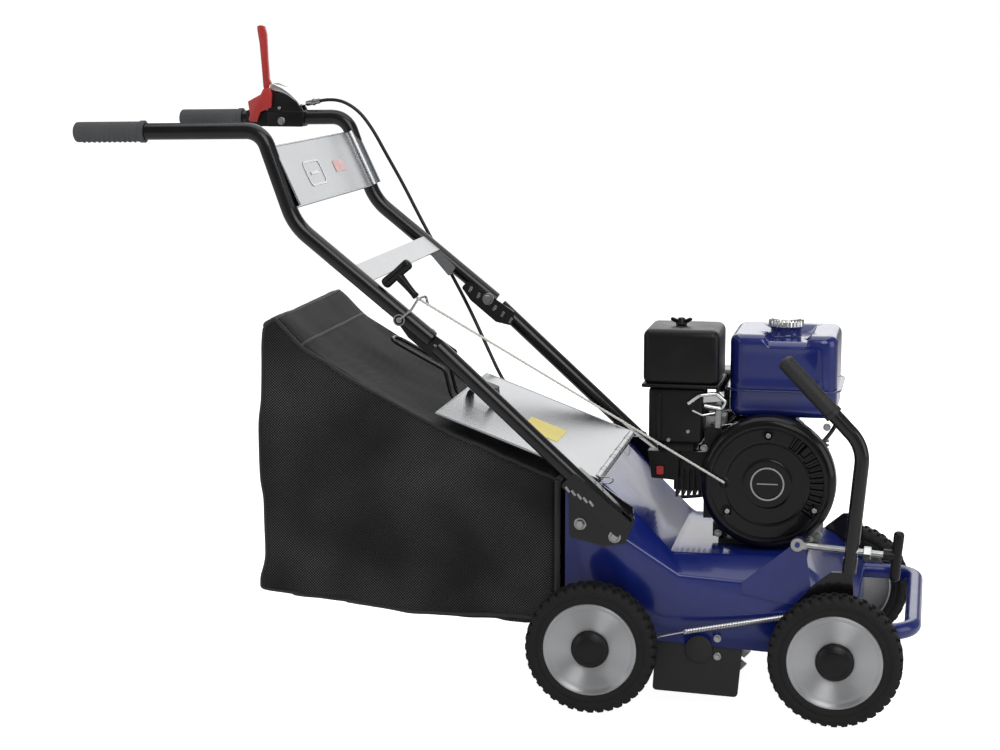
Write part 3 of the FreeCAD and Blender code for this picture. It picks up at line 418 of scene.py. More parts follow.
def aimed(name, data, place, target):
    thing = placed(name, data)
    thing.location = place
    thing.rotation_mode = "QUATERNION"
    thing.rotation_quaternion = (Vector(target) - Vector(place)).to_track_quat("-Z", "Y")
    return thing


def make_camera():
    azimuth, elevation = radians(11.12), radians(9.07)
    place = Vector((0.6535, -3.484, 1.042))
    ahead = Vector((-sin(azimuth) * cos(elevation), cos(azimuth) * cos(elevation),
                    -sin(elevation)))
    lens = bpy.data.cameras.new("camera")
    lens.sensor_width = 36
    lens.lens = 80.3
    bpy.context.scene.camera = aimed("camera", lens, place, place + ahead)


def make_lights():
    middle = (0.05, 0, 0.4)
    for name, place, size, power in (
            ("key", (1.4, -2.6, 2.6), 2.0, 42), ("overhead", (0.1, 0.4, 3.0), 3.0, 40),
            ("left_fill", (-2.9, -1.8, 1.5), 2.0, 16), ("right_fill", (3.0, -0.6, 1.1), 1.8, 16),
            ("back", (0.2, 3.0, 1.9), 2.6, 26)):
        light = bpy.data.lights.new(name, "AREA")
        light.shape, light.size, light.energy = "SQUARE", size, power
        aimed(name, light, place, middle)
    world = bpy.data.worlds.new("studio")
    world.use_nodes = True
    bpy.context.scene.world = world
    tree = world.node_tree
    seen = add_node(tree, "LightPath").outputs["Is Camera Ray"]
    strength = add_node(tree, "MapRange", Value=seen, To_Min=0.2, To_Max=1.0).outputs["Result"]
    backdrop = tree.nodes["Background"]
    backdrop.inputs["Color"].default_value = (1, 1, 1, 1)
    tree.links.new(strength, backdrop.inputs["Strength"])


def make_floor():
    reach = 30
    mesh = bpy.data.meshes.new("floor")
    mesh.from_pydata([(-reach, -reach, 0), (reach, -reach, 0), (reach, reach, 0), (-reach, reach, 0)], [],
                     [(0, 1, 2, 3)])
    floor = placed("floor", mesh)
    pale = surface("floor", (0.78, 0.78, 0.78), (0.80, 0.80, 0.80), (0.7, 0.8), scale=2, bump=0.02)
    shader = pale.node_tree.nodes["Principled BSDF"]
    shader.inputs["Emission Color"].default_value = (1, 1, 1, 1)
    seen = add_node(pale.node_tree, "LightPath").outputs["Is Camera Ray"]
    glow = add_node(pale.node_tree, "MapRange", Value=seen, To_Min=0.06, To_Max=0.95).outputs["Result"]
    pale.node_tree.links.new(glow, shader.inputs["Emission Strength"])
    mesh.materials.append(pale)


# ---- cords ----

CABLE_ROUTE = [(-551, 245, 903), (-524, 245, 908.4), (-486, 247, 890), (-460, 250, 856), (-437, 255, 812),
               (-410, 262, 762), (-382, 265, 706), (-352, 264, 652), (-322, 262, 602), (-290, 254, 546),
               (-258, 236, 488), (-226, 222, 428), (-180, 217, 368), (-126, 217, 316), (-66, 217, 276),
               (-8, 215, 250), (48, 211, 240), (96, 207, 242), (142, 206, 250), (178.6, 206, 250)]
ROPE_EXIT, ROPE_TOP = (187, -120.5, 338), (-266, -245, 628)
ROPE_ROUTE = [ROPE_EXIT, (36, -162, 434.7), (-115, -203.5, 531.3), ROPE_TOP]


def route_line(name, route, steps):
    """The smooth line of a cord's NURBS route."""
    curve = bpy.data.curves.new(name, "CURVE")
    curve.dimensions = "3D"
    curve.resolution_u = steps
    spline = curve.splines.new("NURBS")
    spline.points.add(len(route) - 1)
    for point, place in zip(spline.points, route):
        point.co = (*at(*place), 1)
    spline.order_u = 3
    spline.use_endpoint_u = True
    holder = bpy.data.objects.new(name, curve)
    mesh = bpy.data.meshes.new_from_object(holder)
    line = [vertex.co.copy() for vertex in mesh.vertices]
    bpy.data.objects.remove(holder)
    bpy.data.meshes.remove(mesh)
    return line


def clutch_cable():
    line = route_line("cable_route", CABLE_ROUTE, 10)
    cable = piece("clutch_cable_run", tube(line, 3 * MM, 14), "cable", None, ["clutch_cable"], sharp=60)
    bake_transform(cable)


def starter_rope():
    """A three-strand rope, pulled tight from the recoil starter to its handle."""
    line = route_line("rope_route", ROPE_ROUTE, 90)
    strands, pitch = 3, 7.0

    def strand(ring, angle):
        along = (line[ring] - line[0]).length / MM
        return (1.78 + 0.24 * cos(strands * angle - 2 * pi * along / pitch)) * MM

    rope = piece("starter_rope_run", tube(line, strand, 18), "rope", None, ["starter_rope"], sharp=80)
    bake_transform(rope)
    top, run = Vector(ROPE_TOP), Vector((-0.45, 0, 0.52)).normalized()
    first, last = at(*top), at(*(top + run * 38))
    tail = [first.lerp(last, index / 60) for index in range(61)]
    hidden = piece("starter_rope_tail", tube(tail, 1.9 * MM, 12), "rope", None, sharp=80)
    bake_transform(hidden)


# ---- wheels ----

def tyre_shape(centre, side):
    """A knobbly tyre: three rows of lugs with grooves between them and a ridge on each wall."""
    segments, lug, lug_land, tyre_width = 240, 6, 4, 44
    half = [(2.0, 72, None), (0.6, 75, None), (0.0, 79.5, None), (1.1, 81, None), (1.1, 83, None),
            (0.0, 84.5, None), (0.0, 89.5, None), (1.4, 94.2, 0), (3.6, 98.2, 0), (8.5, 100, 0), (13.0, 100, 0),
            (13.3, 95.8, None), (14.7, 95.8, None), (15.0, 100, 1), (22.0, 100, 1)]
    profile = half + [(tyre_width - w, r, row if row != 0 else 2) for w, r, row in reversed(half[:-1])]
    depth = {0: 4.4, 1: 4.0, 2: 4.4}
    shift = {0: 0, 1: 3, 2: 1}
    points = []
    for width, radius, row in profile:
        for segment, angle in enumerate(turn_angles(segments)):
            groove = row is not None and (segment + shift[row]) % lug >= lug_land
            reach = (radius - depth[row] * (radius - 88) / 12 if groove else radius) * MM
            points.append(centre + Vector((reach * cos(angle), side * (width - tyre_width) * MM,
                                           reach * sin(angle))))
    return points, ring_faces(len(profile), segments, closed=True)


def wheels():
    for end, x in {"rear": 0, "front": 367}.items():
        for side_name, side in SIDES.items():
            body, suffix = f"wheel_{end}_{side_name}", f"_{end}_{side_name}"
            face = at(x, side * 259, WHEEL_RADIUS)
            out = (0, side, 0)
            piece("tread" + suffix, tyre_shape(face, side), "tyre", body, ["tyre" + suffix])
            disc = [(8, -8), (26, -9), (28, -8.7), (57, -6.3), (60, -5.6), (62, -5.9), (65, -5), (67.5, -3.4),
                    (69.6, -2.9), (71.2, -3.4), (71.9, -5), (71.9, -40), (69, -41), (69, -10), (66, -9.4),
                    (26, -13), (15, -14), (15, -43.9), (8, -43.9)]
            piece("spun_wheel" + suffix, lathe(disc, face, out, 96), "wheel_metal", body, ["wheel" + suffix])
            cap = [(TIP, 2.95), (5, 2.9), (10, 2.7), (15, 2.2), (19.5, 1.2), (20.2, 0.6), (21, 0.9),
                   (24.5, -0.8), (27, -2.8), (28.4, -5), (29, -7.6), (28.5, -8.3), (TIP, -8.3)]
            piece("hub_cap" + suffix, lathe(cap, face, out, 64), "black_plastic", body)


# ---- deck ----

DECK_SIDE = [(-47, 82), (60, 82), (88, 105), (276, 95), (395, 95), (395, 150), (341, 196), (300, 198.5),
             (130, 209), (37, 267), (0, 338), (-47, 338)]
DECK_MIDDLE = DECK_SIDE[:6] + [(336, 206), (300, 232), (112, 232), (60, 285), (0, 342), (-47, 342)]


def deck():
    """The pressed steel skin: two sides and the faceted top and front between them, open below and behind."""
    sections = [[at(x, y, z) for x, z in outline] for y, outline in
                ((-200, DECK_SIDE), (-150, DECK_MIDDLE), (150, DECK_MIDDLE), (200, DECK_SIDE))]
    count, front = len(DECK_SIDE), 4
    faces = [list(range(count)), list(range(3 * count, 4 * count))[::-1]]
    for low in range(3):
        for i in range(front, count - 1):
            a = low * count + i
            faces.append([a, a + 1, a + 1 + count, a + count])
    skin = piece("deck_skin", (sum(sections, []), faces), "blue_paint", "chassis", ["deck_housing"],
                 bevel=5, segments=4, sharp=35, bevel_from=9)
    sheet = skin.modifiers.new("sheet", "SOLIDIFY")
    sheet.thickness, sheet.offset, sheet.use_even_offset = 0.0028, -1, True
    rim = [(15, 0), (15, 1.6), (13, 2.4), (8.4, 2.4), (8.4, 0)]
    cover = [(TIP, -0.5), (21, -0.5), (21, 1), (20, 1.6), (TIP, 1.6)]
    for name, profile, x, z, look in (("deck_bosses", rim, 0, WHEEL_RADIUS, "black_paint"),
                                      ("bearing_covers", cover, 160, 95, "skirt_rubber")):
        discs = [lathe(profile, at(x, side * 200, z), (0, side, 0), 40) for side in SIDES.values()]
        piece(name, merged(*discs), look, "chassis")


def scale_marks(name, first, step, count, run, across, sizes):
    """A row of raised marks by a height adjuster, on both sides of the machine."""
    x, y, z = first
    marks = [sloping(at(x + step[0] * index, y * side, z + step[1] * index), run, across, (0, 1, 0), sizes)
             for side in SIDES.values() for index in range(count)]
    piece(name, merged(*marks), "zinc", "chassis", bevel=0.3, segments=1)


def hardware():
    """Hexagon bolts, the hairpin clips on the flap's hinge rod, and the height adjusters' marks."""
    shapes = []
    for side in SIDES.values():
        for x, z, face, sizes in ((-23, 283, 205, (7, 5.5, 9.5)), (30, 265, 205, (7, 5.5, 9.5)),
                                  (188, 113, 200, (4, 3, 6)), (188, 84, 197, (4, 3, 6)),
                                  (-18, 318, 205, (3.5, 2.5, 5)), (340, 150, 206.5, (4.5, 3, 7))):
            shapes.append(hex_bolt(at(x, face * side, z), (0, side, 0), *sizes))
        clip = rounded_line([(4, 195 * side, 355), (20, 195 * side, 355), (29, 195 * side, 350.5),
                             (20, 195 * side, 345.2), (4, 195 * side, 345.2)], [3, 3, 3], 6)
        shapes.append(tube(clip, 0.9 * MM, 8))
    for x in (192, 314):
        for y in (-66, 66):
            shapes.append(hex_bolt(at(x, y, 240), (0, 0, 1), 7, 5, 9.5))
    piece("deck_bolts", merged(*shapes), "zinc", "chassis", ["deck_hardware"])
    washer = lathe([(4.2, 0), (7, 0), (7, 0.8), (4.2, 0.8)], at(*GUIDE_BOLT), (0, -1, 0), 36)
    piece("guide_seal", washer, "black_gloss", "handlebar")
    piece("guide_bolt", hex_bolt(at(*GUIDE_BOLT), (0, -1, 0), 3.6, 2.4, 4.2), "zinc", "handlebar")
    scale_marks("bracket_scale", (-34, 259.2, 347), (9, -5), 5, (0.6, 0, -0.8), (0.8, 0, 0.6), (10, 3.4, 1.2))
    scale_marks("joint_scale", (-284, 227.6, 585), (14, -10.4), 6, (0.5, 0, 0.86), (0.86, 0, -0.5),
                (10, 4.6, 0.9))
    joints = [hex_bolt(at(-252, 222.4 * side, 570), (0, -side, 0), 7.5, 5, 10) for side in SIDES.values()]
    piece("joint_bolts", merged(*joints), "zinc", "chassis")


def lift_spring():
    """A close-wound pull spring with its rod and hook."""
    y, turns, steps = -209.6, 66, 12
    start, end = Vector((137, y, 123)), Vector((292, y, 155))
    run = (end - start).normalized()
    side = Vector((0, 1, 0))
    up = side.cross(run)
    coil = []
    for index in range(turns * steps + 1):
        share, angle = index / (turns * steps), 2 * pi * index / steps
        coil.append(at(*(start.lerp(end, share) + (side * cos(angle) + up * sin(angle)) * 3.5)))
    ends = [tube([at(92, y, 112), at(115, y, 117.5), at(*start)], 1.4 * MM, 10),
            tube([at(*end), at(299, y, 157), at(305, y, 159)], 1.4 * MM, 10)]
    piece("lift_spring_coil", merged(tube(coil, 1.05 * MM, 7), *ends), "cap_metal", "chassis", ["lift_spring"])


# ---- engine ----

def recoil_cover():
    """The starter's domed cover: a plain badge, screws, fanned louvres and a stepped rim, closed behind."""
    segments = 288
    rings = [TIP] + [2.0 * step for step in range(1, 12)] + [22.5 + 1.25 * step for step in range(61)]
    screws = [(0, 75), (72, -39), (-61, -45)]

    def face(radius, angle):
        """How far the face stands out, in millimetres from the machine's middle plane."""
        x, z = radius * cos(angle), radius * sin(angle)
        out = 118 if radius < 90 else 118 - (radius - 90) ** 2 / 26
        if radius < 36:
            out = 119.4 + (0.6 if 23.4 < radius < 26.2 else 0)
        elif radius < 39:
            out = 119.4 - (radius - 36) * 0.46
        if 63 < radius < 66 or 86 < radius < 88:
            out -= 0.7
        turned = degrees(angle)
        if 66 < radius < 86 and -38 < turned < 62 and not 36 < turned < 46:
            if (turned + 40) % 7 < 3.6:
                out = 113.2
        if 68 < radius < 84 and 37.5 < turned < 44.5:
            out = 113.2
        for sx, sz in screws:
            away = hypot(x - sx, z - sz)
            if away < 8.5:
                out = 118.6 if away > 6 else (117.2 if away > 4.2 else 118.9)
        if hypot(x + 66, z) < 7:
            out = 119.3 if hypot(x + 66, z) > 4 else 118.3
        return -out

    rim = [(99.2, -114), (101.4, -112), (103.2, -109.2), (104, -106), (104, -98), (104, -92), (104, -86.2),
           (100, -86.2), (TIP, -86.2)]
    points = []
    for radius, y in [(radius, None) for radius in rings] + rim:
        for index in range(segments):
            angle = -pi + 2 * pi * (index + 0.5) / segments
            points.append(at(RECOIL[0] + radius * cos(angle), face(radius, angle) if y is None else y,
                             RECOIL[1] + radius * sin(angle)))
    count = len(points) // segments
    piece("recoil_cover", (points, ring_faces(count, segments, closed=True)), "black_gloss", "chassis",
          ["recoil_housing"], sharp=32)
    heads = [lathe([(TIP, 0), (3.9, 0), (3.9, 1.6), (3.2, 2.4), (1.4, 2.4), (1.2, 1.2), (TIP, 1.2)],
                   at(RECOIL[0] + x, -118.2, RECOIL[1] + z), (0, -1, 0), 24) for x, z in screws]
    ring = lathe([(23.6, 0), (26, 0), (26, 0.5), (23.6, 0.5)], at(RECOIL[0], -119.7, RECOIL[1]), (0, -1, 0), 96)
    bar = sloping(at(RECOIL[0], -119.75, RECOIL[1]), (1, 0, 0), (0, 0, 1), (0, 1, 0), (32, 1.6, 0.7))
    piece("recoil_trim", merged(ring, bar, *heads), "zinc", "chassis")


def rounded_ring(low, high, corner, z, per_side=36, per_corner=9):
    """A level ring round a rectangle with round corners, in millimetres, starting on the -Y side."""
    (x0, y0), (x1, y1) = low, high
    (a0, b0), (a1, b1) = (x0 + corner, y0 + corner), (x1 - corner, y1 - corner)
    points = []
    for start, end, (cx, cy), first in (((a0, y0), (a1, y0), (a1, b0), -90), ((x1, b0), (x1, b1), (a1, b1), 0),
                                        ((a1, y1), (a0, y1), (a0, b1), 90),
                                        ((x0, b1), (x0, b0), (a0, b0), 180)):
        for step in range(per_side):
            share = step / per_side
            points.append((start[0] + (end[0] - start[0]) * share, start[1] + (end[1] - start[1]) * share, z))
        for step in range(per_corner):
            angle = radians(first + 90 * step / per_corner)
            points.append((cx + corner * cos(angle), cy + corner * sin(angle), z))
    return points


def fuel_tank():
    """A pressed tank in two halves on a flange, with upright beads on its faces and a round neck."""
    low, high, floor, top, corner, soft = (188, -80), (353, 90), 434, 562, 24, 13

    def eased(value):
        value = clamped(value)
        return value * value * (3 - 2 * value)

    def sunk(x, y, z):
        """How far the channel round the filler lowers a point."""
        return 10 * eased((x - 240) / 7) * eased((313 - x) / 7) * eased((61 - y) / 8) * eased((z - 536) / 22)

    quarter = [radians(15 * step) for step in range(7)]
    levels = [(floor + soft - soft * cos(angle), soft - soft * sin(angle)) for angle in quarter]
    levels += [(450 + 5 * step, 0) for step in range(5)]
    levels += [(475.3, 0), (475.5, -6.4), (476.1, -7), (477.4, -7), (478, -6.4), (478.2, 0)]
    levels += [(481 + 5 * step, 0) for step in range(14)]
    levels += [(top - soft + soft * sin(angle), soft - soft * cos(angle)) for angle in quarter]
    levels += [(top, inset) for inset in (16, 20, 25, 31, 38, 46, 54, 62, 70)]
    points, size = [], 0
    for z, inset in levels:
        ring = rounded_ring((low[0] + inset, low[1] + inset), (high[0] - inset, high[1] - inset),
                            max(corner - inset, 6), z)
        size = len(ring)
        window = clamped((z - 444) / 8, (472 - z) / 6) or clamped((z - 486) / 6, (546 - z) / 8)
        for x, y, height in ring:
            for face, way in ((low[1], -1), (high[1], 1)):
                if abs(y - face) < 0.5 and inset == 0:
                    bead = exp(-((x - 204) / 2.6) ** 2) + exp(-((x - 331) / 2.6) ** 2)
                    panel = 0.9 / (1 + exp(-(min(x - 208, 327 - x)) / 1.2))
                    y += way * (2.0 * bead - panel) * window
            points.append(at(x, y, height - sunk(x, y, height)))
    faces = ring_faces(len(levels), size) + end_faces(size, len(points))
    neck = [(27, -8.2), (25, -7), (24, -5), (24, 3.2), (25.6, 4.2), (25.6, 5.6), (21.6, 5.9), (21.6, -12),
            (27, -12)]
    shape = merged((points, faces), lathe(neck, at(*FILLER, 560), (0, 0, 1), 72))
    piece("fuel_tank_shell", shape, "tank_blue", "chassis", ["fuel_tank"], sharp=45)

    def flutes(radius, angle):
        return 0.55 * cos(30 * angle) - 0.55 if radius > 26.4 else 0

    cap = [(TIP, 0), (26.5, 0), (27.5, 1), (27.5, 8.5), (27, 10), (25, 11.4), (23.5, 11.2), (22.5, 12.6),
           (15, 13.9), (6, 13.9), (TIP, 13.9)]
    piece("fuel_cap_top", lathe(cap, at(*FILLER, 566.4), (0, 0, 1), 180, flutes), "cap_metal", "fuel_cap",
          ["fuel_cap"])


def air_cleaner():
    """The filter housing: a soft-cornered cover on a lipped base, with its wing nut and screws."""
    piece("filter_cover", block((57.5, -108.5, 484), (174.5, 12.5, 570.9)), "black_plastic", "chassis",
          ["air_cleaner_cover"], bevel=12, segments=6, sharp=40)
    lip = block((56, -110, 480.6), (176, 14, 486.5))
    rib = block((78, -103.5, 400), (86, -100, 470))
    piece("filter_lip", lip, "black_plastic", "chassis", bevel=2.2, segments=3)
    piece("filter_base", block((66, -100, 392), (150, -16, 480.4)), "black_plastic", "chassis",
          ["air_cleaner_base"], bevel=7, segments=4, sharp=40)
    piece("filter_foot", merged(block((80, -88, 378), (136, -28, 393)), rib), "black_plastic", "chassis",
          bevel=2)
    heads = [lathe([(TIP, 0), (3.4, 0), (3.4, 1.6), (2.6, 2.6), (TIP, 2.6)], at(x, -99.8, z), (0, -1, 0), 24)
             for x, z in ((128, 412), (98, 398))]
    piece("filter_screws", merged(*heads), "zinc", "chassis")
    nut = lathe([(TIP, 0), (9, 0), (9, 3), (7, 5), (6, 9), (4.5, 11.4), (TIP, 11.4)], at(110, -48, 571.4),
                (0, 0, 1), 32)
    wings = []
    for way in (-1, 1):
        outline = [(5, 575), (10, 574.6), (16.6, 578.4), (16.8, 582.2), (13, 582.9), (5, 579.6)]
        points, faces = prism([(110 + way * x, z) for x, z in outline], -50.4, -45.6)
        wings.append((points, faces))
    piece("wing_nut", merged(nut, *wings), "black_plastic", "air_cleaner_knob", ["air_cleaner_knob"], bevel=1.2)


def engine_details():
    """Linkage, springs, hoses and fasteners round the carburettor and the cooling shroud."""
    wires = (
        ([(128, -102, 456), (146, -104, 470), (170, -100, 473), (185, -92, 459), (180, -90, 447),
          (152, -96, 453)], 3.2),
        ([(134, -102, 446), (150, -98, 438), (168, -92, 441)], 2.0),
        ([(118, -84, 455), (126, -86, 458), (136, -86, 455)], 1.6),
        ([(160, -62, 418), (168, -76, 418), (196, -86, 424)], 1.2))
    links = [tube(rounded_line(points, [6] * (len(points) - 2), 5), radius * MM, 10)
             for points, radius in wires]
    plate = sloping(at(162, -88.6, 465), (1, 0, 0.1), (0, 0, 1), (0, 1, 0), (40, 15, 1.2))
    spring = [at(158 + 34 * i / 240, -76 + 2.4 * cos(i * 0.6), 440 + 2.4 * sin(i * 0.6) + 4 * i / 240)
              for i in range(241)]
    piece("carburettor_linkage", merged(plate, tube(spring, 0.5 * MM, 6), *links), "cap_metal", "chassis")
    bolts = [hex_bolt(at(x, y, z), (0, -1, 0), 4.2, 3, 6) for x, y, z in
             ((340, -86, 424), (152, -85.9, 384), (175, -80, 249), (166, -84.4, 300), (330, -80, 252))]
    piece("engine_bolts", merged(*bolts), "zinc", "chassis")
    hose = route_tube([(200, -60, 434), (192, -66, 426), (180, -66, 412), (172, -58, 404)], 3.2)
    plug_lead = route_tube([(300, 40, 420), (330, 66, 436), (352, 70, 410), (338, 66, 384), (326, 58, 372)],
                           3.4)
    boot_profile = [(TIP, 0), (7, 0), (7.6, 8), (6.2, 24), (4.2, 27), (TIP, 27)]
    boot = lathe(boot_profile, at(326, 58, 346), (0.1, 0, 1), 24)
    piece("engine_hoses", merged(hose, plug_lead, boot), "cable", "chassis")
    fins = [block((262, 74.4, z), (336, 90, z + 1.8)) for z in range(300, 372, 7)]
    piece("cylinder_fins", merged(*fins), "engine_casting", "chassis")
    guard = [block((156 + 9 * index, 170, 388), (160 + 9 * index, 171.6, 470)) for index in range(6)]
    piece("muffler_guard", merged(*guard), "engine_casting", "chassis", bevel=0.5, segments=1)


def route_tube(route, radius):
    """A short fixed hose on a smooth line through its control points."""
    return tube(route_line("hose_route", route, 10), radius * MM, 12)


# ---- handle ----

def ribbed_grip(start, run, length, radius, ribs):
    """A rubber sleeve with a rounded end, a collar, and finger ribs on its underside."""
    start, run = Vector(start), Vector(run).normalized()
    steps = 150
    line = [start + run * (length * MM * index / steps) for index in range(steps + 1)]
    line = [start + run * 0.02 * MM] + line[1:]

    def reach(ring, angle):
        along = length * ring / steps
        end = min(1.0, sqrt(max(0.0, 1 - (1 - min(along, 7) / 7) ** 2)))
        collar = 1.4 if along > length - 7 else 0
        under = max(0.0, -sin(angle))
        rib = 0.9 * cos(2 * pi * along / 8.2) * under if ribs and 12 < along < length - 12 else 0
        fine = 0.25 * cos(2 * pi * along / 3.4) if 10 < along < length - 10 else 0
        return max(0.4, (radius - 1.5 + rib + fine + collar) * end) * MM

    return tube(line, reach, 40)


def grips():
    rise = 5 / 295
    for name, side in SIDES.items():
        piece(f"hand_grip_{name}", ribbed_grip(at(-804, HANDLE_Y * side, 870.93), (1, 0, rise), 115, 17, True),
              "grip_rubber", "handlebar", ["handle_grips"] if side == RIGHT else (), sharp=50)
    toward = Vector((117, 0, -123)).normalized()
    end = Vector((283, -206, 541)) - toward * 6
    piece("depth_grip", ribbed_grip(at(*end), toward, 112, 14, False), "lever_rubber", "front_crank",
          ["lever_grip"], sharp=50)


def barrel(half, radius):
    """A cross bar's profile: fuller at its rounded ends than in its middle."""
    side = [(TIP, half), (radius * 0.55, half - 0.4), (radius * 0.85, half - 2), (radius, half - 5),
            (radius * 0.97, half * 0.5), (radius * 0.9, 0)]
    return side + [(r, -d) for r, d in reversed(side[:-1])]


def starter_grip():
    top, stem = Vector(ROPE_TOP), Vector((0.45, 0, -0.52)).normalized()
    across = Vector((-stem.z, 0, stem.x))
    shank = lathe([(TIP, 0), (7, 0), (7, 6), (5.6, 20), (5, 34), (5.6, 40), (4.6, 42), (TIP, 42)],
                  at(*(top - stem * 44)), stem, 32)
    bar = lathe(barrel(27, 8.5), at(*(top - stem * 48)), across, 40)
    piece("starter_grip", merged(shank, bar), "black_plastic", "starter_handle", ["starter_handle"])


def depth_knob():
    slope = radians(-4.45)
    run, across = Vector((cos(slope), 0, sin(slope))), Vector((-sin(slope), 0, cos(slope)))
    base = Vector((306, -206, 266))
    stem = lathe([(5.1, 0), (9, 0), (9, 11), (7.5, 15), (7, 19), (TIP, 19)], at(*(base + run * 127)), run, 32)
    bar = lathe(barrel(38, 8), at(*(base + run * 147)), across, 40)
    piece("depth_knob_grip", merged(stem, bar), "black_plastic", "depth_knob", ["depth_knob"])
    nut = lathe([(5.1, 0), (9.2, 0), (10, 1), (10, 11), (9.2, 12), (5.1, 12)], at(*(base + run * 97.5)), run, 6)
    piece("depth_nut_hex", nut, "zinc", "depth_nut", ["depth_nut"], sharp=25)
    lock = lathe([(5.1, 0), (8.4, 0), (9, 0.8), (9, 5.4), (8.4, 6), (5.1, 6)], at(*(base + run * 84)), run, 6)
    ridge = [(4.9, 0), (5.3, 0.5), (4.9, 1)]
    threads = [lathe(ridge, at(*(base + run * (30 + 1.5 * i))), run, 20) for i in range(36)]
    piece("depth_screw_thread", merged(lock, *threads), "zinc", "depth_screw")


def clutch():
    """The red clutch lever in its bracket, with the cable's adjuster."""
    blade = prism([(-642, 904), (-618, 902), (-622, 914), (-636, 929), (-641, 940), (-643, 972), (-644.5, 1016),
                   (-648, 1029.5), (-655, 1031.5), (-660.5, 1029.5), (-660, 1022), (-656.5, 1000),
                   (-653.5, 962), (-651, 926), (-646, 912)], 240, 250)
    web = prism([(-644.5, 940), (-648.5, 940), (-650.5, 970), (-653.5, 1012), (-648.5, 1012), (-646, 970)],
                238.8, 251.2)
    knuckle = lathe([(TIP, -7), (12.5, -7), (14, -5.5), (14, 5.5), (12.5, 7), (TIP, 7)],
                    at(-628, HANDLE_Y, 904), (0, 1, 0), 40)
    catch = prism([(-650, 914), (-673, 902), (-669.5, 879), (-672.5, 872), (-670.5, 867.5), (-657, 866.6),
                   (-651, 884), (-631, 892), (-630, 915), (-634, 925), (-645, 924)], 219, 225.4)
    piece("lever_catch", catch, "red_plastic", "handlebar", bevel=1.6, sharp=35)
    piece("clutch_lever_red", merged(blade, web, knuckle), "red_plastic", "clutch_lever", ["clutch_lever"],
          bevel=1.6, sharp=35)
    body = prism([(-642, 859), (-578, 859), (-574, 886), (-642, 886)], 225.5, 261.5)
    cheeks = [prism([(-640, 884), (-576, 884), (-586, 903), (-606, 915), (-640, 919)], low, low + 8.6)
              for low in (226.5, 254)]
    clamp = prism([(-680, 859), (-641, 859), (-641, 887.4), (-676, 887.4), (-680, 883)], 228, 261)
    piece("clutch_bracket_body", merged(body, clamp, *cheeks), "black_plastic", "handlebar", ["clutch_bracket"],
          bevel=2.4, segments=3)
    cap = prism([(-638, 921), (-636, 931), (-629, 932.5), (-613, 925.5), (-600, 917), (-586, 904.5),
                 (-580, 896), (-583, 894), (-591, 903), (-604, 913), (-617, 918.5)], 226.6, 262)
    piece("clutch_cap", cap, "cap_metal", "handlebar", bevel=1.6, segments=3)
    run = Vector((-0.98, 0, -0.196)).normalized()
    sleeve = lathe([(3.1, 0), (4.5, 0), (4.5, 9), (6, 9), (6, 13), (4.5, 13), (4.5, 24), (3.1, 26)],
                   at(-551, HANDLE_Y, 903), run, 24)
    screw = [(TIP, 0), (2.8, 0), (2.6, 1.4), (1.6, 2), (TIP, 2)]
    bolts = [hex_bolt(at(-615, 225.5, 869), (0, -1, 0), 4.5, 3, 6.5),
             lathe(screw, at(-618.5, 226.5, 891), (0, -1, 0), 20)]
    piece("clutch_fittings", merged(sleeve, *bolts), "zinc", "handlebar")


def outlined(centre, across, up, half_wide, half_tall, corner, width, thick):
    """A thin round-cornered frame lying on a face; across and up are unit vectors, sizes are millimetres."""
    out = across.cross(up)
    loops = []
    for grow, lift in ((0, 0), (0, thick), (-width, thick), (-width, 0)):
        ring = rounded_ring((-half_wide - grow, -half_tall - grow), (half_wide + grow, half_tall + grow),
                            max(corner + grow, 0.5), 0, 4, 6)
        loops.append([centre + (across * x + up * y + out * lift) * MM for x, y, _ in ring])
    return sum(loops, []), ring_faces(4, len(loops[0]), closed=True)


def panel_badge():
    """A plain badge, a blank label, folded edges and saddles on the handle's cross panel."""
    down = Vector((42, 0, -90)).normalized()
    up, across = -down, Vector((0, 1, 0))
    out = across.cross(up)
    centre = at(-499, -58, 850) + down * 54 * MM + out * 0.3 * MM
    frame_shape = outlined(centre, across, up, 46, 21, 12, 3.2, 0.7)
    bar = sloping(centre + out * 0.35 * MM, across, up, out, (44, 5, 0.7))
    piece("panel_badge", merged(frame_shape, bar), "badge_white", "handlebar")
    # The label's pink is red print with painted reflection mixed in.
    label = sloping(at(-499, 92, 850) + down * 52 * MM + out * 0.5 * MM, across, up, out, (60, 20, 0.5))
    piece("panel_label", label, "red_label_painted_reflection", "handlebar")
    folds = [tube([at(-500, -231, 850), at(-500, 231, 850)], 1.7 * MM, 12),
             tube([at(-458, -231, 760), at(-458, 231, 760)], 1.7 * MM, 12)]
    piece("panel_folds", merged(*folds), "grey_sheet", "handlebar")
    wraps = []
    for side in SIDES.values():
        turns = [radians(angle) for angle in range(-12, 109, 8)]
        outline = [(turn, 14.6) for turn in turns] + [(turn, 13.2) for turn in reversed(turns)]
        points = [at(-500 + 42 * share, HANDLE_Y * side, 850 - 90 * share)
                  + (across * (-side * cos(turn)) + out * sin(turn)) * reach * MM
                  for share in (0, 1) for turn, reach in outline]
        wraps.append((points, extruded_faces(len(outline))))
    piece("panel_wraps", merged(*wraps), "grey_sheet", "handlebar", sharp=50)


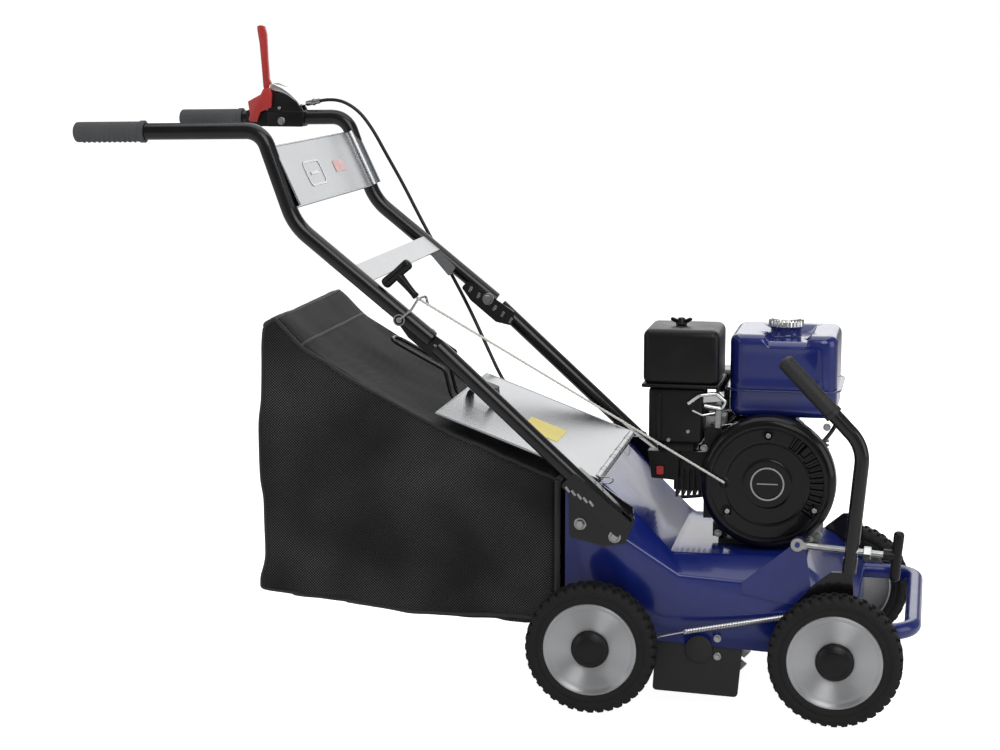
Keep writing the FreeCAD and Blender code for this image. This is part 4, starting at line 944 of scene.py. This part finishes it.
def flap_trim():
    """The flap's blank sticker and its folded edges."""
    slope = atan2(93, 252)
    back, lift = Vector((-cos(slope), 0, sin(slope))), Vector((sin(slope), 0, cos(slope)))

    def on_flap(y, along, above):
        return at(0, y, FLAP_HINGE_Z) + (back * along + lift * above) * MM

    yellow = sloping(on_flap(-32, 118, 4.3), back, (0, 1, 0), lift, (62, 96, 0.5))
    piece("flap_sticker", yellow, "sticker_yellow", "flap")
    creases = [tube([on_flap(y, 14, 3.4), on_flap(y, 262, 3.4)], 1.5 * MM, 10) for y in (-196, 196)]
    rear = tube([on_flap(-197, 266.6, 3), on_flap(197, 266.6, 3)], 1.6 * MM, 10)
    piece("flap_hems", merged(rear, *creases), "grey_sheet", "flap")


# ---- grass bag ----

BAG = [(-530, 577), (-545, 400), (-537, 203), (-549, 153), (-469, 139), (-308, 122), (-101, 121), (-57, 142),
       (-57, 349), (-242, 423), (-360, 482), (-463, 543), (-503, 587)]
BAG_TOP_SEAM = [(-57, 350), (-242, 424), (-360, 483), (-463, 544), (-503, 588)]


def stepped(corners, gap):
    """Points along a run of corners, about a gap apart."""
    line = []
    for start, end in zip(corners, corners[1:]):
        count = max(1, round((end - start).length / gap))
        line += [start.lerp(end, index / count) for index in range(count)]
    return line + [corners[-1]]


def cloth_settled(bag, held, frames):
    """Runs a passing cloth modifier on the bag and gives back where its points come to rest."""
    group = bag.vertex_groups.new(name="held")
    for index, weight in held.items():
        group.add([index], weight, "REPLACE")
    cloth = bag.modifiers.new("cloth", "CLOTH")
    settings = cloth.settings
    settings.quality, settings.mass, settings.time_scale = 6, 0.25, 1.0
    settings.tension_stiffness = settings.compression_stiffness = 30
    settings.shear_stiffness, settings.bending_stiffness = 12, 0.8
    settings.vertex_group_mass = "held"
    settings.pin_stiffness = 3
    settings.use_pressure = True
    settings.uniform_pressure_force = 1.2
    settings.effector_weights.gravity = 0.7
    scene = bpy.context.scene
    cloth.point_cache.frame_start, cloth.point_cache.frame_end = 1, frames
    for number in range(1, frames + 1):
        scene.frame_set(number)
    shown = bag.evaluated_get(bpy.context.evaluated_depsgraph_get())
    settled = [vertex.co.copy() for vertex in shown.data.vertices]
    bag.modifiers.remove(cloth)
    scene.frame_set(1)
    return settled


def grass_bag():
    """A sewn mesh bag: a remeshed shell that sags and swells as cloth, with bound seams."""
    cell, reach, hoop_ease, pull_depth, ripple_depth = 0.011, 0.0085, 0.08, 0.0032, 0.0016
    points, faces = prism(BAG, -BAG_HALF, BAG_HALF)
    mesh = bpy.data.meshes.new("bag_form")
    mesh.from_pydata([tuple(point) for point in points], [], faces)
    form = placed("bag_form", mesh)
    even = form.modifiers.new("even", "REMESH")
    even.mode, even.voxel_size = "VOXEL", cell
    made = bpy.data.meshes.new_from_object(form.evaluated_get(bpy.context.evaluated_depsgraph_get()))
    bpy.data.objects.remove(form)
    work = bmesh.new()
    work.from_mesh(made)
    mouth = at(-57, 0, 0).x
    bmesh.ops.recalc_face_normals(work, faces=work.faces)
    front = [face for face in work.faces if face.calc_center_median().x > mouth - 0.006]
    bmesh.ops.delete(work, geom=front, context="FACES")
    work.to_mesh(made)
    work.free()
    bag = placed("bag_cloth", made)
    rest = [vertex.co.copy() for vertex in made.vertices]
    hoop, ridge = at(-78, 0, 0).x, at(-503, 0, 572)
    held = {}
    for index, point in enumerate(rest):
        edge = abs(point.y) > 0.182
        on_seam = edge and seam_height(point.x) - point.z < 0.014
        rear_top = point.z > ridge.z and point.x < at(-488, 0, 0).x
        if point.x > hoop:
            held[index] = 1.0
        elif on_seam or rear_top:
            held[index] = 0.7
    settled = cloth_settled(bag, held, CLOTH_FRAMES)
    for vertex, start, end in zip(made.vertices, rest, settled):
        shift = end - start
        if shift.length > reach:
            shift = shift.normalized() * reach
        free = clamped((hoop - start.x) / hoop_ease)
        pull = noise.noise(Vector((start.x * 9, start.y * 9, start.z * 3.2))) * pull_depth
        ripple = noise.noise(Vector((start.x * 26 + start.z * 14, start.y * 20, start.z * 7))) * ripple_depth
        vertex.co = start + shift + vertex.normal * (pull + ripple) * free
    for look in ("bag_fabric", "bag_top"):
        made.materials.append(LOOKS[look])
    for face in made.polygons:
        centre = face.center
        if centre.z > seam_height(centre.x) - 0.007 and centre.x > at(-500, 0, 0).x:
            face.material_index = 1
    made.shade_smooth()
    cloth_edge = bag.modifiers.new("cloth_edge", "SOLIDIFY")
    cloth_edge.thickness, cloth_edge.offset = 0.0012, 0
    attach(bag, "bag")
    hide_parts("grass_bag")
    bag_binding(made)


def bag_binding(cloth):
    """Tape along the bag's seams, laid on its settled cloth, and round its mouth."""
    half, mouth, low, high, seam_gap, mouth_gap = BAG_HALF, -60, 143, 346, 0.008, 0.01
    surface_tree = BVHTree.FromPolygons([vertex.co.copy() for vertex in cloth.vertices],
                                        [list(face.vertices) for face in cloth.polygons])
    seams = []
    for side in SIDES.values():
        for outline in (BAG_TOP_SEAM, BAG[12:] + BAG[:4], BAG[3:8]):
            seams.append(stepped([at(x, side * half, z) for x, z in outline], seam_gap))
    for x, z in (BAG[12], BAG[0], BAG[3], (-463, 543)):
        seams.append(stepped([at(x, -half, z), at(x, half, z)], seam_gap))
    shapes = []
    for line in seams:
        line = [surface_tree.find_nearest(point)[0] for point in line]
        for _ in range(2):
            line = [line[0]] + [(a + b * 2 + c) / 4 for a, b, c in zip(line, line[1:], line[2:])] + [line[-1]]
        shapes.append(tube(line, 2.8 * MM, 10))
    inner = half - 2
    for start, end in (((-inner, low), (-inner, high)), ((inner, low), (inner, high)),
                       ((-inner, low), (inner, low)), ((-inner, high), (inner, high))):
        shapes.append(tube(stepped([at(mouth, *start), at(mouth, *end)], mouth_gap), 4.4 * MM, 12))
    piece("bag_binding", merged(*shapes), "bag_tape", "bag", sharp=60)


def seam_height(x):
    """The height of the bag's top seam above a place along the machine, in metres."""
    corners = [at(a, 0, b) for a, b in BAG_TOP_SEAM]
    return float(np.interp(-x, [-corner.x for corner in corners], [corner.z for corner in corners]))


for build in (make_camera, make_lights, make_floor, clutch_cable, starter_rope, wheels, deck, hardware,
              lift_spring, recoil_cover, fuel_tank, air_cleaner, engine_details, grips, starter_grip,
              depth_knob, clutch, panel_badge, flap_trim, grass_bag):
    build()
bpy.context.scene.view_settings.view_transform = "Standard"
for look, nodes in NODE_LOOKS.items():
    for node in nodes:
        NODES[node].data.materials.clear()
        NODES[node].data.materials.append(LOOKS[look])
